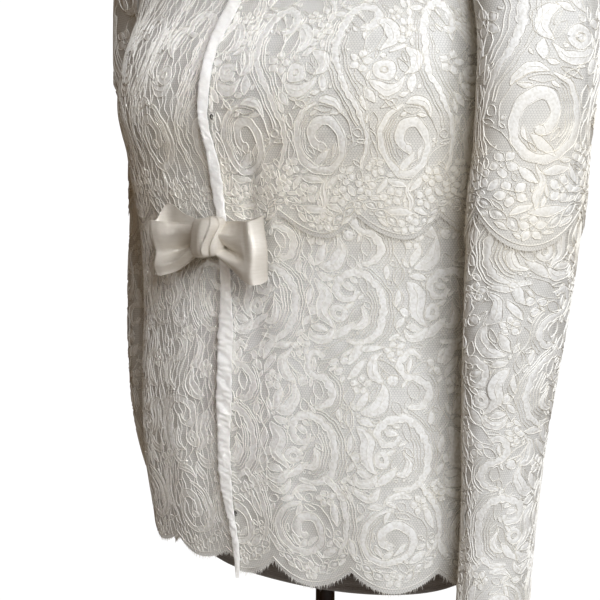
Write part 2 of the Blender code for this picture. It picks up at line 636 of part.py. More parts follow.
def turned(name, profile, sides, finish):
    """A solid turned round the Z axis, from its profile's radii and heights, starting and ending on the axis."""
    points = [(0.0, 0.0, profile[0][1])]
    for radius, height in profile[1:-1]:
        for k in range(sides):
            turn = 2 * math.pi * k / sides
            points.append((radius * math.cos(turn), radius * math.sin(turn), height))
    points.append((0.0, 0.0, profile[-1][1]))
    rings = len(profile) - 2
    faces = []
    for k in range(sides):
        after = (k + 1) % sides
        faces.append([0, 1 + after, 1 + k])
        for ring in range(rings - 1):
            first = 1 + ring * sides
            faces.append([first + k, first + after, first + sides + after, first + sides + k])
        last = 1 + (rings - 1) * sides
        faces.append([last + k, last + after, len(points) - 1])
    return new_object(name, points, faces, finish)


def stand():
    """Neck cap, pole and round base."""
    cap_radius = NECK_ROWS[-1][1]
    cap_low = HEM_HEIGHT + NECK_ROWS[-1][0] + SEAM_GAP
    cap_high = cap_low + CAP_THICKNESS
    cap = turned("neck_cap", ((0, cap_low), (cap_radius - CAP_BEVEL, cap_low), (cap_radius, cap_low + CAP_BEVEL),
                              (cap_radius, cap_high - CAP_BEVEL), (cap_radius - CAP_BEVEL, cap_high),
                              (0, cap_high)), CAP_SIDES, "dark_wood")
    for point in cap.data.vertices:
        point.co.y += NECK_ROWS[-1][3]
    pole_low = BASE_RIM + SEAM_GAP
    pole_high = HEM_HEIGHT + FORM_BOTTOM - SEAM_GAP
    turned("stand_pole", ((0, pole_low), (POLE_RADIUS, pole_low), (POLE_RADIUS, pole_high), (0, pole_high)),
           POLE_SIDES, "black_metal")
    socket = POLE_RADIUS + SEAM_GAP
    turned("stand_base", ((0, 0), (BASE_RADIUS, 0), (BASE_RADIUS, BASE_RIM - BASE_BEVEL[1]),
                          (BASE_RADIUS - BASE_BEVEL[0], BASE_RIM),
                          (BOSS_RADIUS + BASE_CONE[0], BASE_RIM + BASE_CONE[1]),
                          (BOSS_RADIUS, BASE_RIM + BOSS_FOOT), (BOSS_RADIUS, BOSS_HEIGHT - BOSS_BEVEL),
                          (BOSS_RADIUS - BOSS_BEVEL, BOSS_HEIGHT), (socket, BOSS_HEIGHT), (socket, BASE_RIM),
                          (0, BASE_RIM)), BASE_SIDES, "black_metal")


def main():
    for thing in list(bpy.data.objects):
        bpy.data.objects.remove(thing, do_unlink=True)
    hem_line = bpy.data.objects.new("hem_line", None)
    hem_line.location.z = HEM_HEIGHT
    bpy.context.collection.objects.link(hem_line)
    worn = [dress_form()]
    panels = body_panels()
    for place, grid in panels.items():
        steps = grid[2] * STEPS_PER_SCALLOP - WAIST_SHIFT
        laps = WAIST_LINE + scallop(steps / WAIST_SCALLOP_STEPS, WAIST_SCALLOP_DEPTH)
        worn += layered_cloth(place, grid, laps, LOWER_ROWS.index(LAP_TOP) + 1, closed=False)
    for side in SLEEVES:
        grid = sleeve_grid(side)
        laps = SLEEVES[side].at("height", ELBOW_FALL) + scallop(grid[2], ELBOW_SCALLOP_DEPTH)
        worn += layered_cloth("sleeve_" + side, grid, laps, ELBOW_LAP_ROW, closed=True)
    worn.append(front_binding(panels["front_left"]))
    worn.append(neck_binding(panels))
    worn += bow()
    for thing in worn:
        thing.parent = hem_line
    stand()


main()
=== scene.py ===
"""The looks of the lace jacket on its dress form: lace, lining, satin, jersey, stand, light and camera.

Metres, in the part's own frame: +Z up, the front faces -Y and +X is the wearer's left. Jacket heights are
counted from the hem line. A place on a cloth is given flat: how far across it lies, and how far up.
"""
import math
from collections import namedtuple
from functools import partialmethod

import bpy
import numpy as np
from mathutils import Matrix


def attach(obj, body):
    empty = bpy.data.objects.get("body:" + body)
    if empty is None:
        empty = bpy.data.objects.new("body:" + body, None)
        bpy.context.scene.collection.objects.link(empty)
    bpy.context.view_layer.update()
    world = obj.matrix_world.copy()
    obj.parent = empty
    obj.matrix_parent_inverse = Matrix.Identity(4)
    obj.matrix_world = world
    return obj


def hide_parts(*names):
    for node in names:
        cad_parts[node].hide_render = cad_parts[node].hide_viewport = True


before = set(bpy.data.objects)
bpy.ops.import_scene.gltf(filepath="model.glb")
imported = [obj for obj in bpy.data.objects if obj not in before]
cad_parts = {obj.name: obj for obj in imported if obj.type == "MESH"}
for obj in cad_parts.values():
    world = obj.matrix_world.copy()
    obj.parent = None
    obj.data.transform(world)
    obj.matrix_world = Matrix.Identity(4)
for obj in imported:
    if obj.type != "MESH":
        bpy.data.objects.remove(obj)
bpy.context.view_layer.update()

# Sizes of the part, which the looks follow
HEM_HEIGHT = 0.640
WAIST_LINE = 0.268
UNDERARM = 0.400
NECK_POINT = (0.073, 0.609)
SHOULDER_SLOPE = 0.34
SHOULDER_ROUND = 0.045
NECK_DROP = {"front": 0.074, "back": 0.016}
ARMHOLE = {"top": 0.568, "front": 0.046, "back": 0.056}
SIDE_SIGN = {"left": 1.0, "right": -1.0}
FACE = {-1: "front", 1: "back"}  # by the way a cloth faces along Y
CLOTH = 0.0012  # thickness of every cloth in the part
SEAM_GAP = 0.0003
LACE_LIFT = CLOTH + SEAM_GAP
OVERLAP_LIFT = LACE_LIFT + CLOTH + SEAM_GAP
LAP_TOP = 0.290
LAP_FADE = 0.328  # height where the upper lace is down on the lining again
LAP_START = (0.190, 0.240)  # heights between which the front binding rises onto the lapped laces
SLEEVE_SEAT = (0.0040, 0.0068)  # how far a sleeve starts off the body, at the shoulder and at the underarm
SEAM_ROLL_SEAT = (0.0030, 0.0046)  # the same for the roll in its seam
SEAM_ROLL = 0.0019  # radius of that roll
SLEEVE_HEAD_FULL = 0.64  # how far a sleeve goes on in the shoulder's direction, as a share of its head
SLEEVE_SCALLOPS = 3
NECK_SHARE = 0.45  # share of a half panel's columns that end at the neck
NECK_CURVE = 1.7
ARMHOLE_PULL = 3  # the higher, the fewer columns are drawn in beside the armhole

# Scalloped edges: width of one scallop, its depth and where the first cusp lies
HEM_REPEAT = 0.065
HEM_DEPTH = {"left": 0.016, "right": 0.011, "back": 0.016}
HEM_LOW = {"left": -0.002, "right": 0.0, "back": -0.002}
HEM_CUSP = {"left": 0.036, "right": 0.013, "back": 0.0}
WAIST_REPEAT = 0.0545
WAIST_DEPTH = 0.018
WAIST_CUSP = {"left": 0.049, "right": 0.030, "back": 0.0}
WAIST_BOTTOM = {"left": 0.62, "right": 0.5, "back": 0.5}  # share of a scallop's width where it is lowest
SCALLOP_ROUND = 1.9
LINING_SET_BACK = 0.003
ELBOW_HEIGHT = 0.268
ELBOW_DEPTH = 0.027
CUFF_HEIGHT = -0.045
CUFF_DEPTH = 0.014
SLEEVE_CUSP_TURN = 5 / 18 * 2 * math.pi

# Satin
BINDING_THICKNESS = 0.0032
BINDING_END = 0.005
NECK_BINDING_HALF = 0.003
BOW_WIDTH = 0.112
BOW_LEVEL = 0.252
BOW_MIDDLE = -0.006
BOW_DEPTH = 0.017
KNOT_HALF_WIDTH = 0.008

# Stand
POLE_RADIUS = 0.008
BASE_RADIUS = 0.170
BASE_RIM = 0.012
FORM_BOTTOM = -0.031
NECK_TOP = 0.672

# How fine the meshes are
COLUMN_STEP = 0.002  # between columns of a cloth's own grid
LEVEL_STEP = 0.002  # between its levels
HEAD_STEPS = 40  # levels of the chest above the underarm, and of a sleeve head
SLEEVE_COLUMNS = 120
SLEEVE_RADIUS = 0.042  # about what a sleeve has
SHELL_COLUMN = {"front": 0.003, "back": 0.0045, "sleeve": 0.0034}  # between columns of the linings and nets
SHELL_ROW = 0.013  # between their rows
RING_SAMPLES = 240
HALVINGS = 40  # of the interval in which a half width is searched
PANEL_LOW = -0.030  # lowest level of the panels
CUFF_FALL = 7.0  # where a sleeve's table ends
FALL_STEP = 0.1  # between the rings of a sleeve, in rows of that table


class Table:
    """Rows of sizes with named columns, read at any place along the first column on a smooth curve."""

    def __init__(self, columns, rows):
        self.columns = dict(zip(columns, np.array(rows, dtype=float).T))
        self.places = self.columns[columns[0]]

    def at(self, column, place):
        place = np.asarray(place, dtype=float)
        values = self.columns[column]
        slopes = np.gradient(values, self.places)
        i = np.clip(np.searchsorted(self.places, place) - 1, 0, len(self.places) - 2)
        step = self.places[i + 1] - self.places[i]
        t = np.clip((place - self.places[i]) / step, 0.0, 1.0)
        return ((1 + 2 * t) * (1 - t) ** 2 * values[i] + t * (1 - t) ** 2 * step * slopes[i]
                + t * t * (3 - 2 * t) * values[i + 1] - t * t * (1 - t) * step * slopes[i + 1])


# Cross sections of the jacket's body, as in the part
BODY = Table(
    ("height", "half_width", "front", "back", "front_square", "back_square"),
    ((-0.030, 0.1610, 0.1030, 0.1210, 2.20, 2.2),
     (0.000, 0.1630, 0.1035, 0.1220, 2.20, 2.2),
     (0.060, 0.1660, 0.1140, 0.1235, 2.20, 2.2),
     (0.125, 0.1680, 0.1175, 0.1230, 2.20, 2.2),
     (0.198, 0.1690, 0.1140, 0.1190, 2.20, 2.2),
     (0.268, 0.1720, 0.1165, 0.1150, 2.25, 2.2),
     (0.313, 0.1745, 0.1250, 0.1120, 2.35, 2.2),
     (0.355, 0.1765, 0.1360, 0.1100, 2.45, 2.2),
     (0.394, 0.1755, 0.1290, 0.1095, 2.40, 2.2),
     (0.438, 0.1780, 0.1000, 0.1080, 2.30, 2.2),
     (0.480, 0.1860, 0.0840, 0.1060, 2.20, 2.2),
     (0.521, 0.1950, 0.0730, 0.1000, 2.20, 2.2),
     (0.568, 0.2000, 0.0640, 0.0880, 2.20, 2.2),
     (0.609, 0.2000, 0.0580, 0.0740, 2.20, 2.2)))

# Cross sections of the sleeves, as in the part
SLEEVE_TABLE_COLUMNS = ("fall", "height", "x", "y", "half_side", "half_front")
SLEEVES = {
    "left": Table(SLEEVE_TABLE_COLUMNS, (
        (0, 0.375, 0.2190, -0.026, 0.0355, 0.0530),
        (1, 0.340, 0.2180, -0.030, 0.0335, 0.0510),
        (2, 0.268, 0.2140, -0.034, 0.0320, 0.0500),
        (3, 0.200, 0.2080, -0.034, 0.0290, 0.0460),
        (4, 0.130, 0.2010, -0.034, 0.0250, 0.0390),
        (5, 0.070, 0.1965, -0.033, 0.0225, 0.0330),
        (6, 0.010, 0.1945, -0.036, 0.0215, 0.0310),
        (7, -0.045, 0.1940, -0.039, 0.0220, 0.0320))),
    "right": Table(SLEEVE_TABLE_COLUMNS, (
        (0, 0.375, -0.2170, 0.030, 0.0340, 0.0520),
        (1, 0.340, -0.2170, 0.044, 0.0330, 0.0510),
        (2, 0.268, -0.2140, 0.042, 0.0320, 0.0490),
        (3, 0.200, -0.2080, 0.028, 0.0290, 0.0460),
        (4, 0.130, -0.2010, 0.013, 0.0250, 0.0390),
        (5, 0.070, -0.1965, 0.010, 0.0225, 0.0330),
        (6, 0.010, -0.1945, 0.027, 0.0215, 0.0310),
        (7, -0.045, -0.1940, 0.056, 0.0220, 0.0320)))}

# Folds of the panels: distance from the centre line at the lowest point, how far it leans out on the way up,
# lowest and highest point, half width and rise. The first rows are the part's own, the rest smaller creases.
FOLDS = {
    "left": ((0.024, 0.000, 0.130, 0.345, 0.011, -0.0030),
             (0.048, 0.000, -0.060, 0.230, 0.016, 0.0030),
             (0.120, 0.000, -0.080, 0.200, 0.022, 0.0035),
             (0.013, 0.022, 0.248, 0.335, 0.006, -0.0034),
             (0.034, 0.030, 0.235, 0.350, 0.008, 0.0020),
             (0.085, -0.030, -0.060, 0.160, 0.010, -0.0012),
             (0.185, 0.020, 0.250, 0.420, 0.010, -0.0018)),
    "right": ((0.050, 0.000, -0.060, 0.230, 0.018, 0.0030),
              (0.115, 0.000, -0.080, 0.210, 0.022, 0.0030),
              (0.030, 0.035, 0.225, 0.340, 0.007, 0.0012),
              (0.180, 0.020, 0.250, 0.420, 0.010, -0.0018)),
    "back": ((0.060, 0.000, -0.080, 0.240, 0.024, 0.0035),
             (0.140, 0.000, -0.080, 0.200, 0.024, 0.0030),
             (0.100, 0.040, 0.200, 0.360, 0.014, 0.0015))}

# Folds of the sleeves: turn round the sleeve, lean, lowest and highest point, half width as a turn, rise
SLEEVE_FOLDS = ((1.10, 0.50, 0.060, 0.300, 0.16, -0.0016),
                (2.10, -0.50, 0.140, 0.330, 0.20, 0.0020),
                (4.30, 0.60, 0.100, 0.320, 0.20, 0.0018),
                (0.10, 0.40, -0.080, 0.160, 0.16, 0.0014),
                (1.70, 0.30, -0.080, 0.120, 0.14, -0.0012))


def unit(vectors):
    return vectors / np.linalg.norm(vectors, axis=-1, keepdims=True)


def squared(value, power):
    """A sine or cosine whose circle is squared off by a power below 1."""
    return np.sign(value) * np.abs(value) ** power


def steps_along(points):
    return np.linalg.norm(np.diff(points, axis=0), axis=-1)


def way_along(points):
    """The way to each point from the first."""
    return np.concatenate(([0.0], np.cumsum(steps_along(points))))


def around(count):
    """Even angles once round."""
    return np.arange(count) * 2 * math.pi / count


def shoulder_rounding(x, height):
    """Share of the full reach that is left just below the shoulder ridge."""
    ridge = NECK_POINT[1] - (np.abs(x) - NECK_POINT[0]) * SHOULDER_SLOPE
    below_ridge = np.clip((ridge - height) / SHOULDER_ROUND, 0.0, 1.0)
    return np.sqrt(1.0 - (1.0 - below_ridge) ** 2)


def body_reach(x, height, facing):
    """How far the cloth lies from the side line, to the front (facing -1) or to the back (facing 1)."""
    face = FACE[facing]
    square = BODY.at(face + "_square", height)
    share = np.clip(np.abs(x) / BODY.at("half_width", height), 0.0, 1.0)
    return BODY.at(face, height) * (1.0 - share ** square) ** (1.0 / square) * shoulder_rounding(x, height)


def surface(angle, height, facing):
    """Points of the body by their angle from the centre line, a right angle being the side seam."""
    face = FACE[facing]
    power = 2.0 / BODY.at(face + "_square", height)
    x = BODY.at("half_width", height) * np.sin(angle) ** power
    y = facing * BODY.at(face, height) * np.abs(np.cos(angle)) ** power * shoulder_rounding(x, height)
    return np.stack((x, y, height + 0.0 * x), axis=-1)


def angle_of(x, height, facing):
    """The angle from the centre line of a point at a half width."""
    square = BODY.at(FACE[facing] + "_square", height)
    return np.arcsin(np.clip(x / BODY.at("half_width", height), 0.0, 1.0) ** (square / 2.0))


def quarter_ring(height, facing):
    """Angles of close points round a quarter of the body, and the way to each from the centre line."""
    angle = np.linspace(0.0, math.pi / 2, RING_SAMPLES)
    return angle, way_along(surface(angle, np.full_like(angle, height), facing))


def ring_angles(height, shares, facing):
    """Angles of a quarter ring's points, by their shares of its length from the centre line to the side."""
    angle, travel = quarter_ring(height, facing)
    return np.interp(shares * travel[-1], travel, angle)


def armhole_points(angle, facing):
    """Armhole edge, by its angle from the shoulder point: half width, depth and height."""
    middle = (ARMHOLE["top"] + UNDERARM) / 2
    half = (ARMHOLE["top"] - UNDERARM) / 2
    height = middle + half * np.cos(angle)
    depth = ARMHOLE[FACE[facing]] * np.sin(angle)
    low = np.zeros_like(height)
    high = np.full_like(height, BODY.at("half_width", ARMHOLE["top"]))
    for _ in range(HALVINGS):
        x = (low + high) / 2
        outside = body_reach(x, height, facing) <= depth
        high = np.where(outside, x, high)
        low = np.where(outside, low, x)
    return x, facing * depth, height


def top_edge(shares, facing):
    """Upper edge of a half panel, along the neck and the shoulder seam: angles and heights."""
    drop = NECK_DROP[FACE[facing]]
    around_neck = np.clip(shares / NECK_SHARE, 0.0, 1.0)
    along = np.clip((shares - NECK_SHARE) / (1.0 - NECK_SHARE), 0.0, 1.0)
    shoulder_height = NECK_POINT[1] + (ARMHOLE["top"] - NECK_POINT[1]) * along
    at_neck = shares <= NECK_SHARE
    height = np.where(at_neck, NECK_POINT[1] - drop * (1 - around_neck ** NECK_CURVE), shoulder_height)
    x = np.where(at_neck, NECK_POINT[0] * around_neck,
                 NECK_POINT[0] + (NECK_POINT[1] - shoulder_height) / SHOULDER_SLOPE)
    return angle_of(x, height, facing), height


def chest_patch(shares, rise, facing):
    """Angles and heights of the cloth above the chest line: straight columns, drawn in beside the armhole."""
    bottom = np.stack((ring_angles(UNDERARM, shares, facing), np.full_like(shares, UNDERARM)))
    top = np.stack(top_edge(shares, facing))
    columns = (1 - rise) * bottom + rise * top
    arm_x, _, arm_height = armhole_points(np.array([math.pi * (1.0 - rise)]), facing)
    armhole = np.stack((angle_of(arm_x, arm_height, facing), arm_height))
    return columns + shares ** ARMHOLE_PULL * (armhole - columns[:, -1:])


def scallop(phase, depth):
    """Height of a scalloped edge about its mean, with cusps at whole phases."""
    across = np.abs(2.0 * np.mod(phase, 1.0) - 1.0)
    return depth * (across ** SCALLOP_ROUND - 1.0 / (1.0 + SCALLOP_ROUND))


def fold_rise(folds, across, height):
    """How far a cloth's folds lift it."""
    rise = np.zeros(np.broadcast(across, height).shape)
    for centre, lean, low, high, half_width, lift in folds:
        along = np.clip((height - low) / (high - low), 0.0, 1.0)
        away = (across - centre - lean * along) / half_width
        rise = rise + lift * np.sin(math.pi * along) ** 2 * np.exp(-away ** 2)
    return rise


class Cloth:
    """A panel or sleeve laid out flat: where each place across and up lies in space, and which way is out."""

    def __init__(self, across, ups, points, outward, closed=False):
        self.across = across
        self.closed = closed
        self.low = float(ups.min())
        self.top = ups[-1]
        levels = np.arange(self.low, ups.max() + LEVEL_STEP, LEVEL_STEP)
        stacked = np.concatenate((points, outward), axis=-1)
        self.grid = np.empty((len(levels), len(across), 6))
        for column in range(len(across)):
            for part in range(6):
                self.grid[:, column, part] = np.interp(levels, ups[:, column], stacked[:, column, part])

    def column_of(self, across):
        if self.closed:
            across = np.mod(across, self.across[-1])
        return np.interp(across, self.across, np.arange(len(self.across)))

    def top_at(self, across):
        return np.interp(self.column_of(across), np.arange(len(self.across)), self.top)

    def at(self, across, up):
        """Points on the cloth and their outward directions."""
        column = self.column_of(across)
        row = np.clip((up - self.low) / LEVEL_STEP, 0.0, len(self.grid) - 1.001)
        c = np.minimum(column.astype(int), len(self.across) - 2)
        r = row.astype(int)
        s = (column - c)[..., None]
        t = (row - r)[..., None]
        found = ((self.grid[r, c] * (1 - s) + self.grid[r, c + 1] * s) * (1 - t)
                 + (self.grid[r + 1, c] * (1 - s) + self.grid[r + 1, c + 1] * s) * t)
        return found[..., :3], unit(found[..., 3:])


def half_panel(panel, facing):
    """Grid of a half panel from centre line to side: distances, ways up, points and outward directions."""
    length = quarter_ring(0.0, facing)[1][-1]
    shares = np.linspace(0.0, 1.0, round(length / COLUMN_STEP) + 1)
    heights = np.arange(PANEL_LOW, UNDERARM, 2 * LEVEL_STEP)
    rises = np.linspace(0.0, 1.0, HEAD_STEPS)
    rows = [surface(ring_angles(h, shares, facing), np.full_like(shares, h), facing) for h in heights]
    rows += [surface(*chest_patch(shares, rise, facing), facing) for rise in rises]
    points = np.array(rows)
    on_shoulder = shares >= NECK_SHARE
    at_side = slice(0, len(heights) + 1)
    points[:, 0, 0] = 0.0
    points[at_side, -1, 1] = 0.0
    points[-1, on_shoulder, 1] = 0.0
    outward = np.cross(np.gradient(points, axis=1), np.gradient(points, axis=0)) * -facing
    outward[:, 0, 0] = 0.0
    outward[at_side, -1, 1] = 0.0
    outward[-1, on_shoulder, 1] = 0.0
    outward = unit(outward)
    ups = np.concatenate((np.tile(heights[:, None], (1, len(shares))),
                          np.full((HEAD_STEPS, len(shares)), UNDERARM)))
    ups[len(heights) + 1:] += np.cumsum(steps_along(points[len(heights):]), axis=0)
    points = points + outward * fold_rise(FOLDS[panel], shares * length, points[..., 2])[..., None]
    points[..., 2] += HEM_HEIGHT
    return shares * length, ups, points, outward


def body_cloths():
    """The two fronts and the back, laid out flat. Fronts start at the centre line, the back at one side."""
    cloths = {"front_left": Cloth(*half_panel("left", -1))}
    mirror = np.array((-1.0, 1.0, 1.0))
    across, ups, points, outward = half_panel("right", -1)
    cloths["front_right"] = Cloth(across, ups, points * mirror, outward * mirror)
    across, ups, points, outward = half_panel("back", 1)
    cloths["back"] = Cloth(
        np.concatenate((-across[:0:-1], across)),
        np.concatenate((ups[:, :0:-1], ups), axis=1),
        np.concatenate((points[:, :0:-1] * mirror, points), axis=1),
        np.concatenate((outward[:, :0:-1] * mirror, outward), axis=1))
    return cloths


def armhole_loop(side, turn, cloths, seat_lift=SLEEVE_SEAT):
    """Where a sleeve starts: points round the armhole, clear of the body's lace."""
    sign = SIDE_SIGN[side]
    loop = np.empty((len(turn), 3))
    for facing, cloth in ((-1, cloths["front_" + side]), (1, cloths["back"])):
        inside = turn <= math.pi if facing < 0 else turn > math.pi
        angle = turn[inside] if facing < 0 else 2 * math.pi - turn[inside]
        edge = cloth.across[-1] if facing < 0 else sign * cloth.across[-1]
        up = UNDERARM + (cloth.top_at(np.array([edge]))[0] - UNDERARM) * (1.0 - angle / math.pi)
        seat = cloth.at(np.full_like(up, edge), up)[1]
        lift = seat_lift[0] + (seat_lift[1] - seat_lift[0]) * (1 - np.cos(angle)) / 2
        places = np.column_stack(armhole_points(angle, facing)) * np.array((sign, 1.0, 1.0))
        loop[inside] = places + seat * lift[:, None]
    return loop


def sleeve_cloth(side, cloths):
    """A sleeve laid out by its turn from the shoulder point, to the front first."""
    table = SLEEVES[side]
    sign = SIDE_SIGN[side]
    turn = np.linspace(0.0, 2 * math.pi, SLEEVE_COLUMNS + 1)
    start = armhole_loop(side, np.mod(turn, 2 * math.pi), cloths)

    def ring(fall, drop=0.0):
        return np.column_stack((table.at("x", fall) + sign * table.at("half_side", fall) * np.cos(turn),
                                table.at("y", fall) - table.at("half_front", fall) * np.sin(turn),
                                table.at("height", fall) - drop + 0.0 * turn))

    rows = [ring(CUFF_FALL, drop=2 * CUFF_DEPTH)]
    rows += [ring(fall) for fall in np.arange(CUFF_FALL, -FALL_STEP / 10, -FALL_STEP)]
    below_head = len(rows)
    end = rows[-1]
    reach = np.linalg.norm(end - start, axis=1, keepdims=True)
    droop = (1.0 - np.cos(turn[:, None])) / 2
    along_shoulder = unit(np.array((sign, 0.0, -SHOULDER_SLOPE)))
    leave = reach * SLEEVE_HEAD_FULL * unit((1.0 - droop) * along_shoulder + droop * (end - start) / reach)
    arrive = reach * np.array((0.0, 0.0, -1.0))
    for t in np.linspace(1.0, 0.0, HEAD_STEPS)[1:]:
        rows.append((1 + 2 * t) * (1 - t) ** 2 * start + t * (1 - t) ** 2 * leave
                    + t * t * (3 - 2 * t) * end - t * t * (1 - t) * arrive)
    points = np.array(rows)
    onward = np.roll(points[:, :-1], -1, axis=1) - np.roll(points[:, :-1], 1, axis=1)
    onward = np.concatenate((onward, onward[:, :1]), axis=1)
    outward = unit(np.cross(onward, np.gradient(points, axis=0)) * -sign)
    ups = points[..., 2].copy()
    ups[below_head:] = ups[below_head - 1] + np.cumsum(steps_along(points[below_head - 1:]), axis=0)
    points = points + outward * fold_rise(SLEEVE_FOLDS, turn, points[..., 2])[..., None]
    points[..., 2] += HEM_HEIGHT
    return Cloth(turn, ups, points, outward, closed=True)


# Shader building: arithmetic on Number adds Math nodes, Finish holds a material
class Number:
    """A value among the nodes of a material or of the surroundings."""

    def __init__(self, nodes, socket):
        self.nodes = nodes
        self.socket = socket

    def math(self, operation, *others):
        return self.nodes.number(self.nodes.node("ShaderNodeMath", {"operation": operation}, self, *others))

    def reflected(self, operation, other):
        return self.nodes.number(self.nodes.node("ShaderNodeMath", {"operation": operation}, other, self))

    __add__ = partialmethod(math, "ADD")
    __sub__ = partialmethod(math, "SUBTRACT")
    __mul__ = partialmethod(math, "MULTIPLY")
    __radd__ = partialmethod(reflected, "ADD")
    __rsub__ = partialmethod(reflected, "SUBTRACT")
    __rmul__ = partialmethod(reflected, "MULTIPLY")

    def ramp(self, low, high):
        """0 up to low, 1 from high on, even between."""
        share = self.nodes.node("ShaderNodeMapRange", {"clamp": True}, Value=self,
                                From_Min=low, From_Max=high)
        return self.nodes.number(share, "Result")

    def stripes(self, frequency):
        """Even waves between 0 and 1."""
        return (self * frequency).math("SINE") * 0.5 + 0.5


class Nodes:
    """The nodes of a material or of the surroundings."""

    MIX_INPUTS = (0, 6, 7)  # among a Mix node's sockets, those of its share and its two colours
    MIX_OUTPUT = 2

    def __init__(self, tree):
        self.tree = tree

    def put(self, socket, value):
        if isinstance(value, Number):
            self.tree.links.new(value.socket, socket)
        elif isinstance(value, bpy.types.NodeSocket):
            self.tree.links.new(value, socket)
        else:
            socket.default_value = value

    def node(self, kind, settings, *in_order, **by_name):
        """A node of a type, with its settings set first and then the values or links of its sockets."""
        made = self.tree.nodes.new(kind)
        for name, value in settings.items():
            setattr(made, name, value)
        for place, value in enumerate(in_order):
            self.put(made.inputs[place], value)
        for name, value in by_name.items():
            self.put(made.inputs[name.replace("_", " ")], value)
        return made

    def number(self, node, output=0):
        return Number(self, node.outputs[output])

    def mix(self, share, first, second):
        """A colour between two others."""
        node = self.node("ShaderNodeMix", {"data_type": "RGBA"})
        for place, value in zip(self.MIX_INPUTS, (share, first, second)):
            self.put(node.inputs[place], value)
        return node.outputs[self.MIX_OUTPUT]

    def along(self, vector, direction):
        """How far a vector goes in a direction."""
        product = self.node("ShaderNodeVectorMath", {"operation": "DOT_PRODUCT"}, vector, direction)
        return self.number(product, "Value")


class Finish(Nodes):
    """A material under construction, with its Principled shader."""

    def __init__(self, name, roughness, **constants):
        self.material = bpy.data.materials.new(name)
        self.material.use_nodes = True
        super().__init__(self.material.node_tree)
        self.shader = self.tree.nodes["Principled BSDF"]
        self.set("Roughness", roughness)
        for socket, value in constants.items():
            self.set(socket.replace("_", " "), value)

    def set(self, name, value):
        self.put(self.shader.inputs[name], value)

    def place(self):
        return self.node("ShaderNodeTexCoord", {}).outputs["Object"]

    def height(self):
        return self.along(self.place(), (0.0, 0.0, 1.0))

    def flat(self):
        """The flat place on a cloth, across and up."""
        layer = self.node("ShaderNodeUVMap", {"uv_map": "flat"})
        split = self.node("ShaderNodeSeparateXYZ", {}, layer.outputs[0])
        return self.number(split, 0), self.number(split, 1)

    def noise(self, size, detail=2.0, stretch=(1.0, 1.0, 1.0)):
        """Soft noise about 0.5 with features of a size in metres."""
        scaled = self.node("ShaderNodeVectorMath", {"operation": "MULTIPLY"}, self.place(), stretch)
        return self.number(self.node("ShaderNodeTexNoise", {}, Vector=scaled.outputs[0], Scale=1.0 / size,
                                     Detail=detail))

    def clouded(self, size, first, second, low=0.3, high=0.7):
        """A colour that drifts between two others in clouds of a size."""
        return self.mix(self.noise(size).ramp(low, high), colour(*first), colour(*second))

    def bump(self, height, distance, strength):
        node = self.node("ShaderNodeBump", {}, Height=height, Distance=distance, Strength=strength)
        self.set("Normal", node.outputs[0])


def colour(red, green, blue):
    return (red, green, blue, 1.0)


NET_PITCH = 0.0017  # between parallel threads of the net
NET_THREAD = (0.66, 0.86)  # where a thread starts and is full, from the middle of a mesh to its edge
LINING_THREADS = 1700.0  # waves of its threads across the lining, in radians a metre
JERSEY_RIBS = 3200.0  # waves of its ribs up the jersey, in radians a metre
AGED_BAND = (0.262, 0.345)  # heights between which the lace has yellowed
AGED_FADE = (0.03, 0.05)  # how far the yellow fades below and above them
AGED_SHARE = 0.45
AGED_COLOUR = colour(0.88, 0.815, 0.68)


def aged(finish, base):
    """A colour that turns a little yellow along the waist."""
    height = finish.height() - HEM_HEIGHT
    low, high = AGED_BAND
    below, above = AGED_FADE
    share = height.ramp(low - below, low) * (1.0 - height.ramp(high, high + above))
    return finish.mix(share * finish.noise(0.04).ramp(0.3, 0.6) * AGED_SHARE, base, AGED_COLOUR)


def lace_net():
    """The fine net ground, open between its threads."""
    finish = Finish("lace_net", 0.85, Specular_IOR_Level=0.25)
    across, up = finish.flat()
    thread = None
    for lean in (math.radians(30), math.radians(90), math.radians(150)):
        line = (across * (math.cos(lean) / NET_PITCH) + up * (math.sin(lean) / NET_PITCH)).math("FRACT")
        edge = (2.0 * (line - 0.5).math("ABSOLUTE")).ramp(*NET_THREAD)
        thread = edge if thread is None else thread.math("MAXIMUM", edge)
    cloud = finish.noise(0.02).ramp(0.35, 0.65)
    base = finish.mix(cloud, colour(0.86, 0.835, 0.77), colour(0.90, 0.88, 0.825))
    finish.set("Base Color", aged(finish, base))
    finish.set("Alpha", 0.47 + 0.14 * cloud + 0.29 * thread)
    finish.bump(thread, 0.0003, 0.5)
    return finish.material


def lace_cloth():
    """The closely woven parts of the motifs."""
    finish = Finish("lace_cloth", 0.8, Specular_IOR_Level=0.25, Sheen_Weight=0.1)
    weave = finish.noise(0.0021, 1.5)
    base = finish.clouded(0.012, (0.90, 0.88, 0.825), (0.94, 0.925, 0.88))
    base = finish.mix(weave.ramp(0.36, 0.56), colour(0.79, 0.765, 0.70), base)
    finish.set("Base Color", aged(finish, base))
    finish.bump(weave, 0.0007, 0.7)
    return finish.material


def lace_cord():
    """The raised cords that outline the motifs."""
    finish = Finish("lace_cord", 0.65, Specular_IOR_Level=0.35, Sheen_Weight=0.15)
    twist = finish.noise(0.0014, 1.0)
    base = finish.clouded(0.03, (0.91, 0.88, 0.80), (0.94, 0.92, 0.865), 0.35, 0.65)
    base = finish.mix(twist.ramp(0.3, 0.55), colour(0.78, 0.74, 0.65), base)
    finish.set("Base Color", aged(finish, base))
    finish.bump(twist, 0.0003, 0.6)
    return finish.material


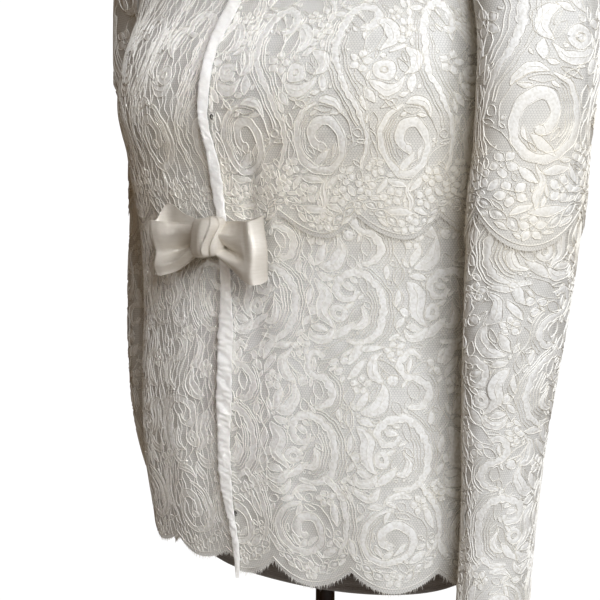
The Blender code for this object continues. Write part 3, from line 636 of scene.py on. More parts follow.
def lining_satin():
    """The pale satin behind the lace."""
    finish = Finish("lining_satin", 0.42, Specular_IOR_Level=0.45)
    threads = finish.flat()[0].stripes(LINING_THREADS)
    base = finish.clouded(0.05, (0.86, 0.83, 0.755), (0.90, 0.88, 0.82))
    finish.set("Base Color", finish.mix(threads * 0.3, base, colour(0.80, 0.77, 0.70)))
    finish.set("Roughness", 0.36 + 0.12 * threads)
    finish.bump(threads, 0.0001, 0.3)
    return finish.material


def binding_satin():
    """The bright satin of the bindings."""
    finish = Finish("binding_satin", 0.34, Specular_IOR_Level=0.7, Sheen_Weight=0.8)
    slub = finish.noise(0.0011, 2.0, stretch=(0.3, 0.3, 1.0))
    base = finish.clouded(0.015, (0.975, 0.945, 0.88), (0.985, 0.965, 0.915))
    finish.set("Base Color", finish.mix(slub.ramp(0.4, 0.7) * 0.25, base, colour(0.84, 0.79, 0.70)))
    finish.set("Roughness", 0.34 + 0.14 * slub)
    finish.bump(0.3 * slub + finish.noise(0.0034, 3.0), 0.0011, 0.5)
    return finish.material


def ivory_satin():
    """The ivory satin of the bow, painted darker than that of the bindings: painted shade for the duller
    light on the bow.
    """
    finish = Finish("ivory_satin", 0.32, Specular_IOR_Level=0.5, Metallic=0.22)
    slub = finish.noise(0.0012, 2.0, stretch=(0.12, 0.12, 1.0))
    # base tones held below the bindings' ivory: painted shade, not the satin's own colour
    base = finish.clouded(0.02, (0.69, 0.635, 0.545), (0.76, 0.71, 0.625))
    finish.set("Base Color", finish.mix(slub.ramp(0.35, 0.7) * 0.3, base, colour(0.56, 0.50, 0.40)))
    finish.set("Roughness", 0.40 + 0.12 * slub)
    finish.bump(slub, 0.0002, 0.25)
    return finish.material


def taupe_jersey():
    """The knitted cover of the dress form, with its fine ribs."""
    finish = Finish("taupe_jersey", 0.88, Specular_IOR_Level=0.2, Sheen_Weight=0.35)
    ribs = finish.height().stripes(JERSEY_RIBS)
    fuzz = finish.noise(0.0014, 3.0)
    base = finish.clouded(0.06, (0.115, 0.098, 0.086), (0.165, 0.143, 0.126))
    finish.set("Base Color", finish.mix(fuzz.ramp(0.4, 0.75) * 0.6, base, colour(0.24, 0.215, 0.19)))
    finish.bump(ribs * 0.6 + fuzz * 0.8, 0.0004, 0.6)
    return finish.material


def dark_metal():
    """Black lacquer with a red-brown tone, worn lighter here and there."""
    finish = Finish("dark_metal", 0.38, Specular_IOR_Level=0.5, Metallic=0.2)
    wear = finish.noise(0.012, 4.0).ramp(0.55, 0.8)
    base = finish.clouded(0.08, (0.012, 0.009, 0.008), (0.035, 0.016, 0.012))
    finish.set("Base Color", finish.mix(wear * 0.5, base, colour(0.07, 0.045, 0.035)))
    finish.set("Roughness", 0.30 + 0.25 * wear)
    finish.bump(finish.noise(0.004, 2.0), 0.0002, 0.3)
    return finish.material


def dark_wood():
    """The turned neck cap, dark stained wood."""
    finish = Finish("dark_wood", 0.4, Coat_Weight=0.3, Coat_Roughness=0.2)
    veins = finish.noise(0.006, 4.0, stretch=(1.0, 0.12, 1.0))
    base = finish.mix(veins.ramp(0.35, 0.65), colour(0.045, 0.020, 0.012), colour(0.13, 0.062, 0.034))
    finish.set("Base Color", base)
    finish.set("Roughness", 0.32 + 0.2 * veins)
    finish.bump(veins, 0.0003, 0.4)
    return finish.material


def hook_metal():
    """Darkened wire of the hooks."""
    finish = Finish("hook_metal", 0.35, Metallic=0.9)
    finish.set("Base Color", finish.clouded(0.002, (0.05, 0.045, 0.04), (0.16, 0.145, 0.12), 0.4, 0.7))
    return finish.material


FINISHES = {maker.__name__: maker() for maker in (
    lace_net, lace_cloth, lace_cord, lining_satin, binding_satin, ivory_satin, taupe_jersey, dark_metal,
    dark_wood, hook_metal)}


# Meshes
def new_piece(name, points, faces, finishes, finish_of_face=None, flat=None, sharp=60.0):
    """A mesh object on the part's one body.

    faces is a list of arrays, and all faces of an array have as many corners.
    """
    sizes = np.concatenate([np.full(len(group), group.shape[1]) for group in faces])
    corners = np.concatenate([group.ravel() for group in faces]).astype(np.int32)
    mesh = bpy.data.meshes.new(name)
    mesh.vertices.add(len(points))
    mesh.vertices.foreach_set("co", np.ascontiguousarray(points, dtype=np.float32).ravel())
    mesh.loops.add(len(corners))
    mesh.loops.foreach_set("vertex_index", corners)
    mesh.polygons.add(len(sizes))
    mesh.polygons.foreach_set("loop_start", np.concatenate(([0], np.cumsum(sizes)[:-1])).astype(np.int32))
    for finish in finishes:
        mesh.materials.append(FINISHES[finish])
    if finish_of_face is not None:
        mesh.polygons.foreach_set("material_index", finish_of_face.astype(np.int32))
    if flat is not None:
        layer = mesh.uv_layers.new(name="flat")
        layer.uv.foreach_set("vector", flat[corners].astype(np.float32).ravel())
    mesh.update(calc_edges=True)
    mesh.validate()
    mesh.shade_smooth()
    mesh.set_sharp_from_angle(angle=math.radians(sharp))
    piece = bpy.data.objects.new(name, mesh)
    bpy.context.scene.collection.objects.link(piece)
    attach(piece, "root")
    return piece


def grid_quads(rows, columns, closed=False, first=0):
    """Faces of a grid of points, round the columns where it is closed."""
    r, c = np.meshgrid(np.arange(rows - 1), np.arange(columns if closed else columns - 1), indexing="ij")
    after = (c + 1) % columns
    here, above = r * columns, (r + 1) * columns
    quads = np.stack((here + c, here + after, above + after, above + c), axis=-1)
    return quads.reshape(-1, 4) + first


def wall_faces(rows, columns, closed):
    """Faces of a thin wall: the outer grid, the inner grid and the rims between them."""
    count = rows * columns
    outer = grid_quads(rows, columns, closed)
    inner = grid_quads(rows, columns, closed, count)[:, ::-1]
    index = np.arange(count).reshape(rows, columns)
    rims = []
    edges = [(index[0], True), (index[-1], False)]
    if not closed:
        edges += [(index[:, 0], False), (index[:, -1], True)]
    for line, turned_round in edges:
        start, stop = line, np.roll(line, -1)
        if not (closed and len(line) == columns):
            start, stop = line[:-1], line[1:]
        rim = np.stack((start, start + count, stop + count, stop), -1)
        rims.append(rim if turned_round else rim[:, ::-1])
    return np.concatenate([outer, inner] + rims)


def wall(name, inner, outer, finish, closed=False, flat=None):
    """A closed thin wall between two grids of points, with its faces turned outwards."""
    rows, columns, _ = outer.shape
    faces = wall_faces(rows, columns, closed)
    middle = rows // 2
    corner = outer[middle, 0]
    facing = np.cross(outer[middle, 1] - corner, outer[middle + 1, 0] - corner)
    if np.dot(facing, corner - inner[middle, 0]) < 0:
        faces = faces[:, ::-1]
    points = np.concatenate((outer.reshape(-1, 3), inner.reshape(-1, 3)))
    if flat is not None:
        flat = np.concatenate((flat.reshape(-1, 2), flat.reshape(-1, 2)))
    return new_piece(name, points, [faces], [finish], flat=flat, sharp=50.0)


def tube_faces(rings, sides):
    """Faces of a tube with closed ends."""
    ends = np.array([np.arange(sides)[::-1], np.arange(sides) + (rings - 1) * sides])
    return [grid_quads(rings, sides, closed=True), ends]


def turned(name, profile, finish, sides=96):
    """A piece turned round the Z axis from its profile's radii and heights."""
    turn = around(sides)
    rings = [np.column_stack((r * np.cos(turn), r * np.sin(turn), np.full(sides, h))) for r, h in profile]
    return new_piece(name, np.concatenate(rings), tube_faces(len(profile), sides), [finish], sharp=35.0)


# Flat curves of the lace's motifs, in units of one repeat: a scallop's middle is at 0, its mean edge at 0 up.
# Each function that draws a motif takes the step between points of its curves last.
Stroke = namedtuple("Stroke", "path half kind")
TAPE, CORD = 0, 1
CORD_REACH = 0.009  # half of a cord


def smooth(points, step):
    """Close points on a smooth curve through a few given ones, and the share of the way to each."""
    points = np.array(points, dtype=float)
    travel = way_along(points)
    places = np.linspace(0.0, travel[-1], max(3, math.ceil(travel[-1] / step) + 1))
    lines = [Table(("way", "value"), np.column_stack((travel, points[:, k]))) for k in range(2)]
    return np.column_stack([line.at("value", places) for line in lines]), places / travel[-1]


def aside(path):
    """Directions square to a flat path, to its left."""
    along = unit(np.gradient(path, axis=0) + 1e-9)
    return np.column_stack((-along[:, 1], along[:, 0]))


def cord(path):
    return Stroke(path, None, CORD)


def tape(path, half):
    """A closely woven band along a path, with a cord along both edges."""
    edges = [cord(path + side * half[:, None] * aside(path)) for side in (-1.0, 1.0)]
    return [Stroke(path, half, TAPE)] + edges


LOBE = 0.115  # length of one of the small lobes along a band
LOBE_WIDTHS = (0.70, 0.50)  # a lobed band's half width between two lobes, and what a lobe adds, as shares
LEAF_TIP = 0.08  # half width of a leaf's tips, as a share
LEAF_FULL = 0.8  # below 1, a leaf is widest in its lower half
VEIN = (0.15, 0.85)  # shares of a leaf's length between which its vein runs
SLIP_WIDTHS = (0.12, 0.78, 1.0, 0.78, 0.12)  # half widths along a small leaf, as shares
PETALS = 5
# A flower's eye, how far out its petals lie, and half their length and width, as shares of its radius
FLOWER = (0.22, 0.66, 0.38, 0.36)
SPOT_HALF = 0.45  # half length of the spot in a cell, as a share of the cell's
SPOT_WIDTHS = (0.075, 0.4, 0.5, 0.4, 0.075)  # half widths along it, as shares of the cell's


def lobed(half, travel):
    """A half width that swells and narrows along the way, as bands of small petals do."""
    narrow, swell = LOBE_WIDTHS
    return half * (narrow + swell * np.abs(np.sin(math.pi * travel / LOBE)))


def band(points, halves, step):
    """A lobed band through a few points, with its half width given at even places along it."""
    path, share = smooth(points, step)
    travel = share * steps_along(path).sum()
    return tape(path, lobed(np.interp(share, np.linspace(0.0, 1.0, len(halves)), halves), travel))


def echoes(points, distances, part, step):
    """Cords that run beside a part of a path, to its left where a distance is above 0."""
    path, share = smooth(points, step)
    kept = (share >= part[0]) & (share <= part[1])
    return [cord((path + distance * aside(path))[kept]) for distance in distances]


def leaf(points, half, step):
    """A closely woven leaf along a curve, widest in its lower half, pointed at both ends, with a vein."""
    path, share = smooth(points, step)
    vein = path[(share > VEIN[0]) & (share < VEIN[1])]
    return tape(path, half * (LEAF_TIP + np.sin(math.pi * share ** LEAF_FULL))) + [cord(vein)]


def slip(centre, along, half_length, half_width):
    """A small woven leaf, straight, with one cord round it."""
    over = np.array((-along[1], along[0]))
    full = np.array(SLIP_WIDTHS)
    share = np.linspace(-1.0, 1.0, len(full))
    path = np.array(centre) + share[:, None] * half_length * along
    edge = full[:, None] * half_width * over
    outline = np.concatenate((path + edge, (path - edge)[::-1], (path + edge)[:1]))
    return [Stroke(path, half_width * full, TAPE), cord(outline)]


def arc(centre, radius, start, stop, step):
    """A part of a circle between two angles in degrees."""
    count = max(8, math.ceil(abs(stop - start) * math.pi / 180 * radius / step) + 1)
    angle = np.radians(np.linspace(start, stop, count))
    return np.array(centre) + radius * np.column_stack((np.cos(angle), np.sin(angle)))


def berry(centre, radius, step):
    """A round spot with a cord about it."""
    edge = arc(centre, radius, 0, 360, step)
    middle = arc(centre, radius * 0.5, 0, 360, step * 2)
    return [Stroke(middle, np.full(len(middle), radius * 0.5), TAPE), cord(edge)]


def ring(centre, radius, half, step):
    """A woven ring, open in the middle."""
    path = arc(centre, radius, 0, 360, step)
    return tape(path, np.full(len(path), half))


def flower(centre, radius, turn, step):
    """Round petals about a small eye, the first one turned to an angle in degrees."""
    eye, away, long, wide = FLOWER
    strokes = [cord(arc(centre, radius * eye, 0, 360, step))]
    for k in range(PETALS):
        angle = math.radians(turn + 360.0 * k / PETALS)
        out = np.array((math.cos(angle), math.sin(angle)))
        strokes += slip(np.array(centre) + out * radius * away, out, radius * long, radius * wide)
    return strokes


def cell(centre, lean, half_length, half_width, step):
    """A pointed cell outlined by a cord, with a small woven spot."""
    along = np.array((math.cos(math.radians(lean)), math.sin(math.radians(lean))))
    over = np.array((-along[1], along[0]))
    share = np.linspace(-1.0, 1.0, max(5, math.ceil(2 * half_length / step) + 1))
    strokes = []
    for side in (-1.0, 1.0):
        bulge = side * half_width * (1 - share ** 2)
        path = np.array(centre) + share[:, None] * half_length * along + bulge[:, None] * over
        strokes.append(cord(path))
    full = np.array(SPOT_WIDTHS)
    spot = np.array(centre) + np.linspace(-SPOT_HALF, SPOT_HALF, len(full))[:, None] * half_length * along
    strokes.append(Stroke(spot, half_width * full, TAPE))
    return strokes


# Lean from upright, half length and half width of the cells up each side of a scallop
EDGE_CELLS = ((38, 0.085, 0.048), (52, 0.085, 0.046), (62, 0.080, 0.042))


def edge_cells(places, step):
    """Cells up both sides of a scallop, at places given for one side."""
    strokes = []
    for side in (-1, 1):
        for (across, up), (lean, half_length, half_width) in zip(places, EDGE_CELLS):
            strokes += cell((side * across, up), 90 - side * lean, half_length, half_width, step)
    return strokes


def chain(middle, low, high, half_width, cells, step):
    """Two wavy cords that cross, with a row of cells between them."""
    height = np.arange(low, high, step)
    swing = half_width * np.sin((height - low) / (high - low) * math.pi * cells)
    return [cord(np.column_stack((middle + side * swing, height))) for side in (-1, 1)]


# A spiral along its way in: share of the way, turns made, radius and half width of the band
SPIRAL = Table(("way", "turns", "radius", "half"),
               ((0.00, 0.00, 0.385, 0.016), (0.20, 0.21, 0.405, 0.040), (0.42, 0.42, 0.370, 0.044),
                (0.55, 0.58, 0.285, 0.044), (0.66, 0.73, 0.215, 0.052), (0.80, 0.97, 0.205, 0.058),
                (0.92, 1.22, 0.160, 0.056), (1.00, 1.40, 0.110, 0.044)))
SPIRAL_WAY = 2.6  # about the length of its way, in its own size
SPIRAL_END = 0.056  # radius of the spot in which it ends
TALL = (0.84, 1.10)  # how much narrower and taller the spirals of the upper lace are


def spiral(centre, size, start, step):
    """A woven band that sweeps round from the outside, anticlockwise, and winds up into a small coil."""
    share = np.linspace(0.0, 1.0, math.ceil(SPIRAL_WAY * size / step))
    angle = math.radians(start) + SPIRAL.at("turns", share) * 2 * math.pi
    out = size * SPIRAL.at("radius", share)
    path = np.array(centre) + out[:, None] * np.column_stack((np.cos(angle), np.sin(angle)))
    return tape(path, size * SPIRAL.at("half", share)) + berry(path[-1], size * SPIRAL_END, step)


def arcs(centre, rows, step):
    """Cords along parts of circles about a centre, each with its radius and two angles."""
    return [cord(arc(centre, *row, step)) for row in rows]


def tall_spiral(centre, size, start, rows, step):
    """A spiral with arcs about it, made taller and narrower."""
    strokes = spiral(centre, size, start, step) + arcs(centre, rows, step)
    return [stroke._replace(path=centre + (stroke.path - centre) * TALL) for stroke in strokes]


def drawn(rows, step):
    """The strokes of a table of motifs, each with the function that draws it and its sizes."""
    return [stroke for motif, *sizes in rows for stroke in motif(*sizes, step)]


# Hem and cuffs, over one scallop: a large spiral close above cells along the edge
HEM_COIL = (0.0, 0.585)
HEM_STEM = ((0.22, 1.26), (0.38, 1.06), (0.47, 0.80), (0.46, 0.54), (0.36, 0.34))
HEM_BORDER = (
    (spiral, HEM_COIL, 0.86, 96),
    (arcs, HEM_COIL, ((0.290, 118, 236), (0.262, 124, 226), (0.335, -15, 75), (0.405, 130, 220))),
    (band, HEM_STEM, (0.030, 0.038, 0.034, 0.026, 0.014)),
    (echoes, HEM_STEM, (0.070, 0.100), (0.1, 0.8)),
    (flower, (0.0, 0.075), 0.105, 90.0),
    (edge_cells, ((0.165, 0.115), (0.290, 0.200), (0.405, 0.310))),
    (leaf, ((0.14, 1.06), (0.02, 1.10), (-0.10, 1.05), (-0.14, 0.98)), 0.044),
    (leaf, ((-0.32, 1.00), (-0.24, 1.06), (-0.17, 1.20)), 0.042))

# Edge of the upper lace, over one scallop: a bed of flowers with a large spiral high above it
WAIST_BORDER = (
    (tall_spiral, (0.03, 1.10), 1.0, 104,
     ((0.340, 122, 240), (0.310, 128, 230), (0.280, 136, 218), (0.375, -10, 82))),
    (flower, (0.0, 0.085), 0.120, 90.0),
    (flower, (-0.21, 0.440), 0.130, 30.0),
    (flower, (0.20, 0.420), 0.125, 66.0),
    (flower, (0.50, 0.560), 0.115, 10.0),
    (edge_cells, ((0.180, 0.135), (0.305, 0.225), (0.420, 0.340))),
    (leaf, ((0.00, 0.255), (0.02, 0.36), (-0.02, 0.52), (0.04, 0.66)), 0.034),
    (leaf, ((-0.02, 1.52), (0.10, 1.56), (0.22, 1.49), (0.27, 1.38)), 0.046))

# Field of the upper lace: a tall crook with a curled head, leaves, a ring and flowers beside it
CROOK_STEM = ((0.43, 2.38), (0.56, 2.42), (0.61, 2.56), (0.49, 2.69), (0.31, 2.63), (0.19, 2.40),
              (0.16, 2.12), (0.24, 1.84), (0.37, 1.60), (0.48, 1.38), (0.53, 1.16), (0.51, 0.94),
              (0.44, 0.74))
CROOK = (
    (band, CROOK_STEM, (0.036, 0.050, 0.052, 0.048, 0.040, 0.034, 0.030, 0.028, 0.024, 0.016)),
    (echoes, CROOK_STEM, (-0.080, -0.112), (0.30, 0.80)),
    (echoes, CROOK_STEM, (0.080, 0.112), (0.36, 0.68)),
    (leaf, ((-0.40, 2.48), (-0.25, 2.42), (-0.20, 2.26), (-0.32, 2.10)), 0.078),
    (leaf, ((-0.08, 2.14), (0.04, 2.06), (0.05, 1.92), (-0.06, 1.82)), 0.066),
    (leaf, ((-0.42, 1.76), (-0.28, 1.66), (-0.13, 1.70), (-0.04, 1.80)), 0.064),
    (ring, (-0.27, 1.87), 0.082, 0.040),
    (berry, (-0.27, 1.87), 0.034),
    (flower, (-0.03, 2.40), 0.120, 54.0),
    (berry, (-0.11, 2.25), 0.056),
    (berry, (0.02, 2.58), 0.050))

# Field of the lower lace: a hooked paisley, dense leaves, an S-scroll, berries and a wavy chain
COMMA = ((-0.06, 1.18), (0.12, 1.16), (0.28, 1.30), (0.34, 1.55), (0.28, 1.80), (0.10, 1.96), (-0.09, 1.94),
         (-0.18, 1.80), (-0.12, 1.67), (0.00, 1.68), (0.04, 1.76))
SCROLL = ((0.12, 2.08), (0.27, 2.13), (0.33, 2.28), (0.22, 2.42), (0.08, 2.46), (0.02, 2.60), (0.12, 2.72),
          (0.22, 2.66))
PAISLEY = (
    (band, COMMA, (0.016, 0.032, 0.042, 0.044, 0.042, 0.042, 0.048, 0.046, 0.036, 0.024)),
    (echoes, COMMA, (0.080, 0.112, 0.144), (0.10, 0.52)),
    (echoes, COMMA, (-0.080, -0.110), (0.15, 0.62)),
    (leaf, ((-0.02, 1.34), (0.09, 1.37), (0.13, 1.50), (0.08, 1.60)), 0.044),
    (leaf, ((-0.42, 1.86), (-0.30, 1.70), (-0.33, 1.52), (-0.20, 1.34)), 0.080),
    (leaf, ((-0.20, 1.34), (-0.28, 1.22), (-0.42, 1.22), (-0.46, 1.32)), 0.054),
    (ring, (-0.15, 1.50), 0.064, 0.032),
    (berry, (-0.44, 1.52), 0.052),
    (band, SCROLL, (0.020, 0.038, 0.046, 0.038, 0.034, 0.042, 0.038, 0.024)),
    (echoes, SCROLL, (-0.080, -0.110), (0.10, 0.45)),
    (leaf, ((-0.36, 2.02), (-0.22, 2.06), (-0.12, 2.22), (-0.14, 2.38)), 0.076),
    (leaf, ((-0.12, 2.36), (-0.24, 2.46), (-0.26, 2.62), (-0.16, 2.74)), 0.058),
    (flower, (-0.38, 2.36), 0.110, 18.0),
    (berry, (0.40, 2.50), 0.048),
    (berry, (0.33, 2.60), 0.048),
    (berry, (0.44, 2.63), 0.048),
    (flower, (0.45, 1.08), 0.110, 30.0),
    (chain, 0.50, 1.26, 2.36, 0.060, 4))

BORDERS = {"lower": HEM_BORDER, "upper": WAIST_BORDER}
FIELDS = {"lower": PAISLEY, "upper": CROOK}
# One tier of a field above the last, and where the field starts above the border
FIELD_RISE = {"lower": 1.68, "upper": 1.52}
FIELD_LOW = {"lower": 1.10, "upper": 1.52}
# Places of a repeat where the net stays open, with their radii
OPEN_NET = {"lower": ((0.24, 1.98, 0.09), (-0.30, 2.62, 0.08), (0.02, 2.24, 0.07), (0.20, 0.72, 0.11),
                      (0.02, 0.585, 0.10)),
            "upper": ((0.36, 2.24, 0.11), (-0.16, 2.02, 0.06), (0.24, 1.62, 0.10), (-0.34, 1.46, 0.09),
                      (0.36, 1.46, 0.07), (0.25, 1.27, 0.12), (-0.24, 1.10, 0.05), (0.05, 1.10, 0.12))}
REPEATS = tuple((side, 0.0) for side in (-1.0, 0.0, 1.0))
EDGE_DEPTH = 0.32  # depth of a scallop


class Ground:
    """The open ground between motifs of a repeat, into which small flowers, berries and leaves are fitted."""

    STEP = 0.018
    MARGIN = 0.007  # net left round each small motif
    EDGE_NET = 0.085  # net left along a scalloped edge
    MOST_ROOM = 0.3  # no place counts as having more room
    NEAR = 3.2  # a gap reaches so many times its room
    NEAR_ROOM = 0.4  # and its places have at least this share of it
    SLIMMEST = 2.3  # length of a small leaf against its width
    FLOWER_ROOM = 0.085  # least room for a flower
    FLOWER_SLIM = 1.8  # gaps slimmer than this get no flower
    BERRY_SLIM = 1.25  # and those slimmer than this no berry
    FLOWER_FILL = 0.94  # share of the room that a flower takes
    BERRY_FILL = 0.74
    LEAF_FILL = (0.92, 0.70)  # along and across a leaf
    FLOWER_TURN = 1000.0  # degrees for one unit of room, so that flowers differ
    ROUND = 5  # small motifs are counted in rounds
    OUTLINES = (1, 3)  # the berries and leaves of a round that are outlines only
    TINY = 1e-9  # keeps a gap of one place from having no width

    def __init__(self, low, high, copies):
        across = np.arange(-0.5, 0.5, self.STEP)
        self.places = np.stack(np.meshgrid(across, np.arange(low, high, self.STEP)), axis=-1).reshape(-1, 2)
        self.copies = copies
        edge = scallop(self.places[:, 0] + 0.5, EDGE_DEPTH)
        self.room = np.minimum(self.MOST_ROOM, self.places[:, 1] - edge - self.EDGE_NET)

    def leave_open(self, across, up, radius):
        for copy in self.copies:
            away = np.linalg.norm(self.places - np.array((across, up)) - copy, axis=1)
            self.room = np.minimum(self.room, away - radius)

    def take(self, strokes, margin=0.0):
        """Counts strokes, and their copies in the next repeats, as filled."""
        lowest = self.places.min(axis=0) - self.MOST_ROOM
        highest = self.places.max(axis=0) + self.MOST_ROOM
        for stroke in strokes:
            reach = margin + (CORD_REACH if stroke.half is None else stroke.half)
            for copy in self.copies:
                path = stroke.path + copy
                if (path > lowest).all(axis=1).any() and (path < highest).all(axis=1).any():
                    gap = np.linalg.norm(self.places[:, None] - path[None], axis=-1) - reach
                    self.room = np.minimum(self.room, gap.min(axis=1))

    def fit(self, smallest, step):
        """Small motifs for the widest gaps, each laid along its gap."""
        strokes = []
        count = 0
        while self.room.max() > smallest:
            widest = int(np.argmax(self.room))
            room, centre = float(self.room[widest]), self.places[widest]
            near = np.abs(self.places - centre).max(axis=1) < self.NEAR * room
            near &= self.room > self.NEAR_ROOM * room
            values, axes = np.linalg.eigh(np.cov((self.places[near] - centre).T) + self.TINY * np.eye(2))
            slim = min(self.SLIMMEST, math.sqrt(values[1] / max(values[0], self.TINY)))
            if room > self.FLOWER_ROOM and slim < self.FLOWER_SLIM:
                fitted = flower(centre, self.FLOWER_FILL * room, self.FLOWER_TURN * room, step)
            elif slim < self.BERRY_SLIM:
                fitted = berry(centre, self.BERRY_FILL * room, step)
            else:
                long, wide = self.LEAF_FILL
                fitted = slip(centre, axes[:, 1], long * room * slim, wide * room)
            self.take(fitted, self.MARGIN)
            count += 1
            outline_only = count % self.ROUND in self.OUTLINES and len(fitted) == 2
            strokes += fitted[1:] if outline_only else fitted
        return strokes


FINE, GRAINED, PLAIN = "fine", "grained", "plain"
DESIGN_STEP = {FINE: 0.032, GRAINED: 0.034, PLAIN: 0.085}  # between points of the motifs' curves
GROUND_LOW = -0.15  # where the ground of a border starts
SMALLEST_GAP = {FINE: 0.022, PLAIN: 0.075}  # that gets a small motif; cords cover those of the grained design
# Half width and rise of the cords
CORD_SIZES = {FINE: (0.00032, 0.00068), GRAINED: (0.00026, 0.00074), PLAIN: (0.00034, 0.00068)}


def filled_design(lace, detail):
    """A border and the field above it, their ground filled by small motifs unless cords are to cover it."""
    step = DESIGN_STEP[detail]
    edge_strokes, field_strokes = drawn(BORDERS[lace], step), drawn(FIELDS[lace], step)
    if detail not in SMALLEST_GAP:
        return edge_strokes, field_strokes
    low, rise = FIELD_LOW[lace], FIELD_RISE[lace]
    tiers = REPEATS + tuple((side, way * rise) for side in (-0.5, 0.5) for way in (-1, 1))
    fillings = []
    for ground, strokes in ((Ground(GROUND_LOW, low, REPEATS), edge_strokes + field_strokes),
                            (Ground(low, low + rise, tiers), field_strokes)):
        ground.take(strokes)
        for place in OPEN_NET[lace]:
            ground.leave_open(*place)
        fillings.append(ground.fit(SMALLEST_GAP[detail], step))
    return edge_strokes + fillings[0], field_strokes + fillings[1]


DESIGNS = {(lace, detail): filled_design(lace, detail) for lace in BORDERS for detail in DESIGN_STEP}

# Cords of a grained cloth: distance between two, step along them, half width and rise
GRAIN = 0.0043
GRAIN_STEP = 0.0024
GRAIN_SIZE = (0.00017, 0.00046)
# Their waves: size, length up the cloth, length across it, and turn from one cord to the next
GRAIN_WAVES = ((0.0070, 0.046, 0.070, 0.0),
               (0.0030, 0.0135, 0.012, 0.0),
               (0.0014, 0.0052, math.inf, 2.4),
               (0.0009, 0.0021, math.inf, 1.7))


def grain(cloth, low, high):
    """Close wavy cords up a whole cloth, in metres."""
    up = np.arange(low, high, GRAIN_STEP)
    strokes = []
    for number, start in enumerate(np.arange(cloth.across[0], cloth.across[-1], GRAIN)):
        sway = 0.0
        for size, length, width, turn in GRAIN_WAVES:
            sway = sway + size * np.sin(up / length + (start / width + turn * number))
        strokes.append(cord(np.column_stack((start + sway, up))))
    return strokes


# Uneven shifts of the motifs: sizes of a bent wave, a ripple and a drift, and for each way the lengths of the
# bent wave, how far it bends, and the lengths of the ripple and of the drift
BENT_SIZE = 0.0008
RIPPLE_SIZE = 0.00045
DRIFT_SIZE = 0.0010
WAVER_ASIDE = (0.0071, 0.0093, 1.3, 0.0023, 0.0041, 0.019, 0.031)
WAVER_UP = (0.0083, 0.0061, 1.1, 0.0019, -0.0037, 0.023, -0.037)


def waver(along, over, lengths):
    bent, bent_over, bend, ripple_over, ripple, drift_over, drift = lengths
    return (BENT_SIZE * np.sin(along / bent + bend * np.sin(over / bent_over))
            + RIPPLE_SIZE * np.sin(over / ripple_over + along / ripple)
            + DRIFT_SIZE * np.sin(over / drift_over + along / drift))


def wavering(place):
    """Small uneven shifts that keep two repeats from looking the same, for places in metres."""
    x, y = place.T
    return np.column_stack((waver(x, y, WAVER_ASIDE), waver(y, x, WAVER_UP)))


MOTIF_MARGIN = 0.0012  # net left plain along the edges of a cloth


class Relief:
    """Motifs raised on a cloth, collected as flat strokes and made into one joined mesh."""

    TAPE_SECTION = ((-1.0, 0.0), (-0.72, 1.0), (0.72, 1.0), (1.0, 0.0))
    CORD_SECTION = ((-1.0, 0.0), (0.0, 1.0), (1.0, 0.0))
    SINK = 0.0001  # the motifs' undersides lie this far in the net
    TAPE_RISE = 0.00022

    def __init__(self, cloth, lift, low, high, cord_size):
        self.cloth = cloth
        self.lift = lift
        self.low = low
        self.high = high
        self.cord_half, self.cord_rise = cord_size
        self.placed = {TAPE: [], CORD: []}

    def add(self, strokes, middle, base, across_unit, up_unit, drawn_by_hand=True):
        """Strokes placed by the middle of their repeat, with what one unit is across and up."""
        for stroke in strokes:
            place = stroke.path * (across_unit, up_unit) + (middle, base)
            if drawn_by_hand:
                place = place + wavering(place * (up_unit / across_unit, 1.0)) * (across_unit / up_unit, 1.0)
            half = stroke.half * up_unit if stroke.kind == TAPE else np.full(len(place), self.cord_half)
            self.placed[stroke.kind].append((place, half))

    def inside(self, place):
        across, up = place.T
        kept = (up > self.low(across)) & (up < np.minimum(self.high(across), self.cloth.top_at(across)))
        if not self.cloth.closed:
            kept &= across > self.cloth.across[0] + MOTIF_MARGIN
            kept &= across < self.cloth.across[-1] - MOTIF_MARGIN
        return kept

    def swept(self, kind):
        """Points and faces of all strokes of a kind, open on the side that lies in the net."""
        if not self.placed[kind]:
            return np.zeros((0, 3)), np.zeros((0, 4), int)
        places, halves = zip(*self.placed[kind])
        place, half = np.concatenate(places), np.concatenate(halves)
        stroke = np.repeat(np.arange(len(places)), [len(path) for path in places])
        points, outward = self.cloth.at(*place.T)
        joined = stroke[1:] == stroke[:-1]
        before = np.arange(len(place)) - np.concatenate(([False], joined))
        after = np.arange(len(place)) + np.concatenate((joined, [False]))
        along = points[after] - points[before]
        over = unit(np.cross(outward, along) + 1e-12)
        section = np.array(self.TAPE_SECTION if kind == TAPE else self.CORD_SECTION)
        rise = np.minimum(self.TAPE_RISE, half) if kind == TAPE else np.full(len(place), self.cord_rise)
        base = points + outward * (self.lift(place[:, 1]) - self.SINK)[:, None]
        rings = (base[:, None] + over[:, None] * (half[:, None] * section[:, 0])[..., None]
                 + outward[:, None] * ((rise + self.SINK)[:, None] * section[:, 1])[..., None])
        kept = self.inside(place)
        runs = joined & kept[1:] & kept[:-1]
        sides = len(section)
        first = np.flatnonzero(runs)[:, None] * sides
        k = np.arange(sides - 1)
        quads = np.stack((first + k, first + k + 1, first + sides + k + 1, first + sides + k), -1)
        return rings.reshape(-1, 3), quads.reshape(-1, 4)

    def build(self, name):
        tape_points, tape_quads = self.swept(TAPE)
        cord_points, cord_quads = self.swept(CORD)
        shift = len(tape_points)
        groups = [tape_quads, cord_quads + shift]
        finish = np.repeat((0, 1), (len(tape_quads), len(cord_quads)))
        used = np.unique(np.concatenate([group.ravel() for group in groups]))
        new_index = np.full(shift + len(cord_points), -1)
        new_index[used] = np.arange(len(used))
        points = np.concatenate((tape_points, cord_points))[used]
        faces = [new_index[group] for group in groups]
        return new_piece(name, points, faces, ["lace_cloth", "lace_cord"], finish, sharp=75.0)


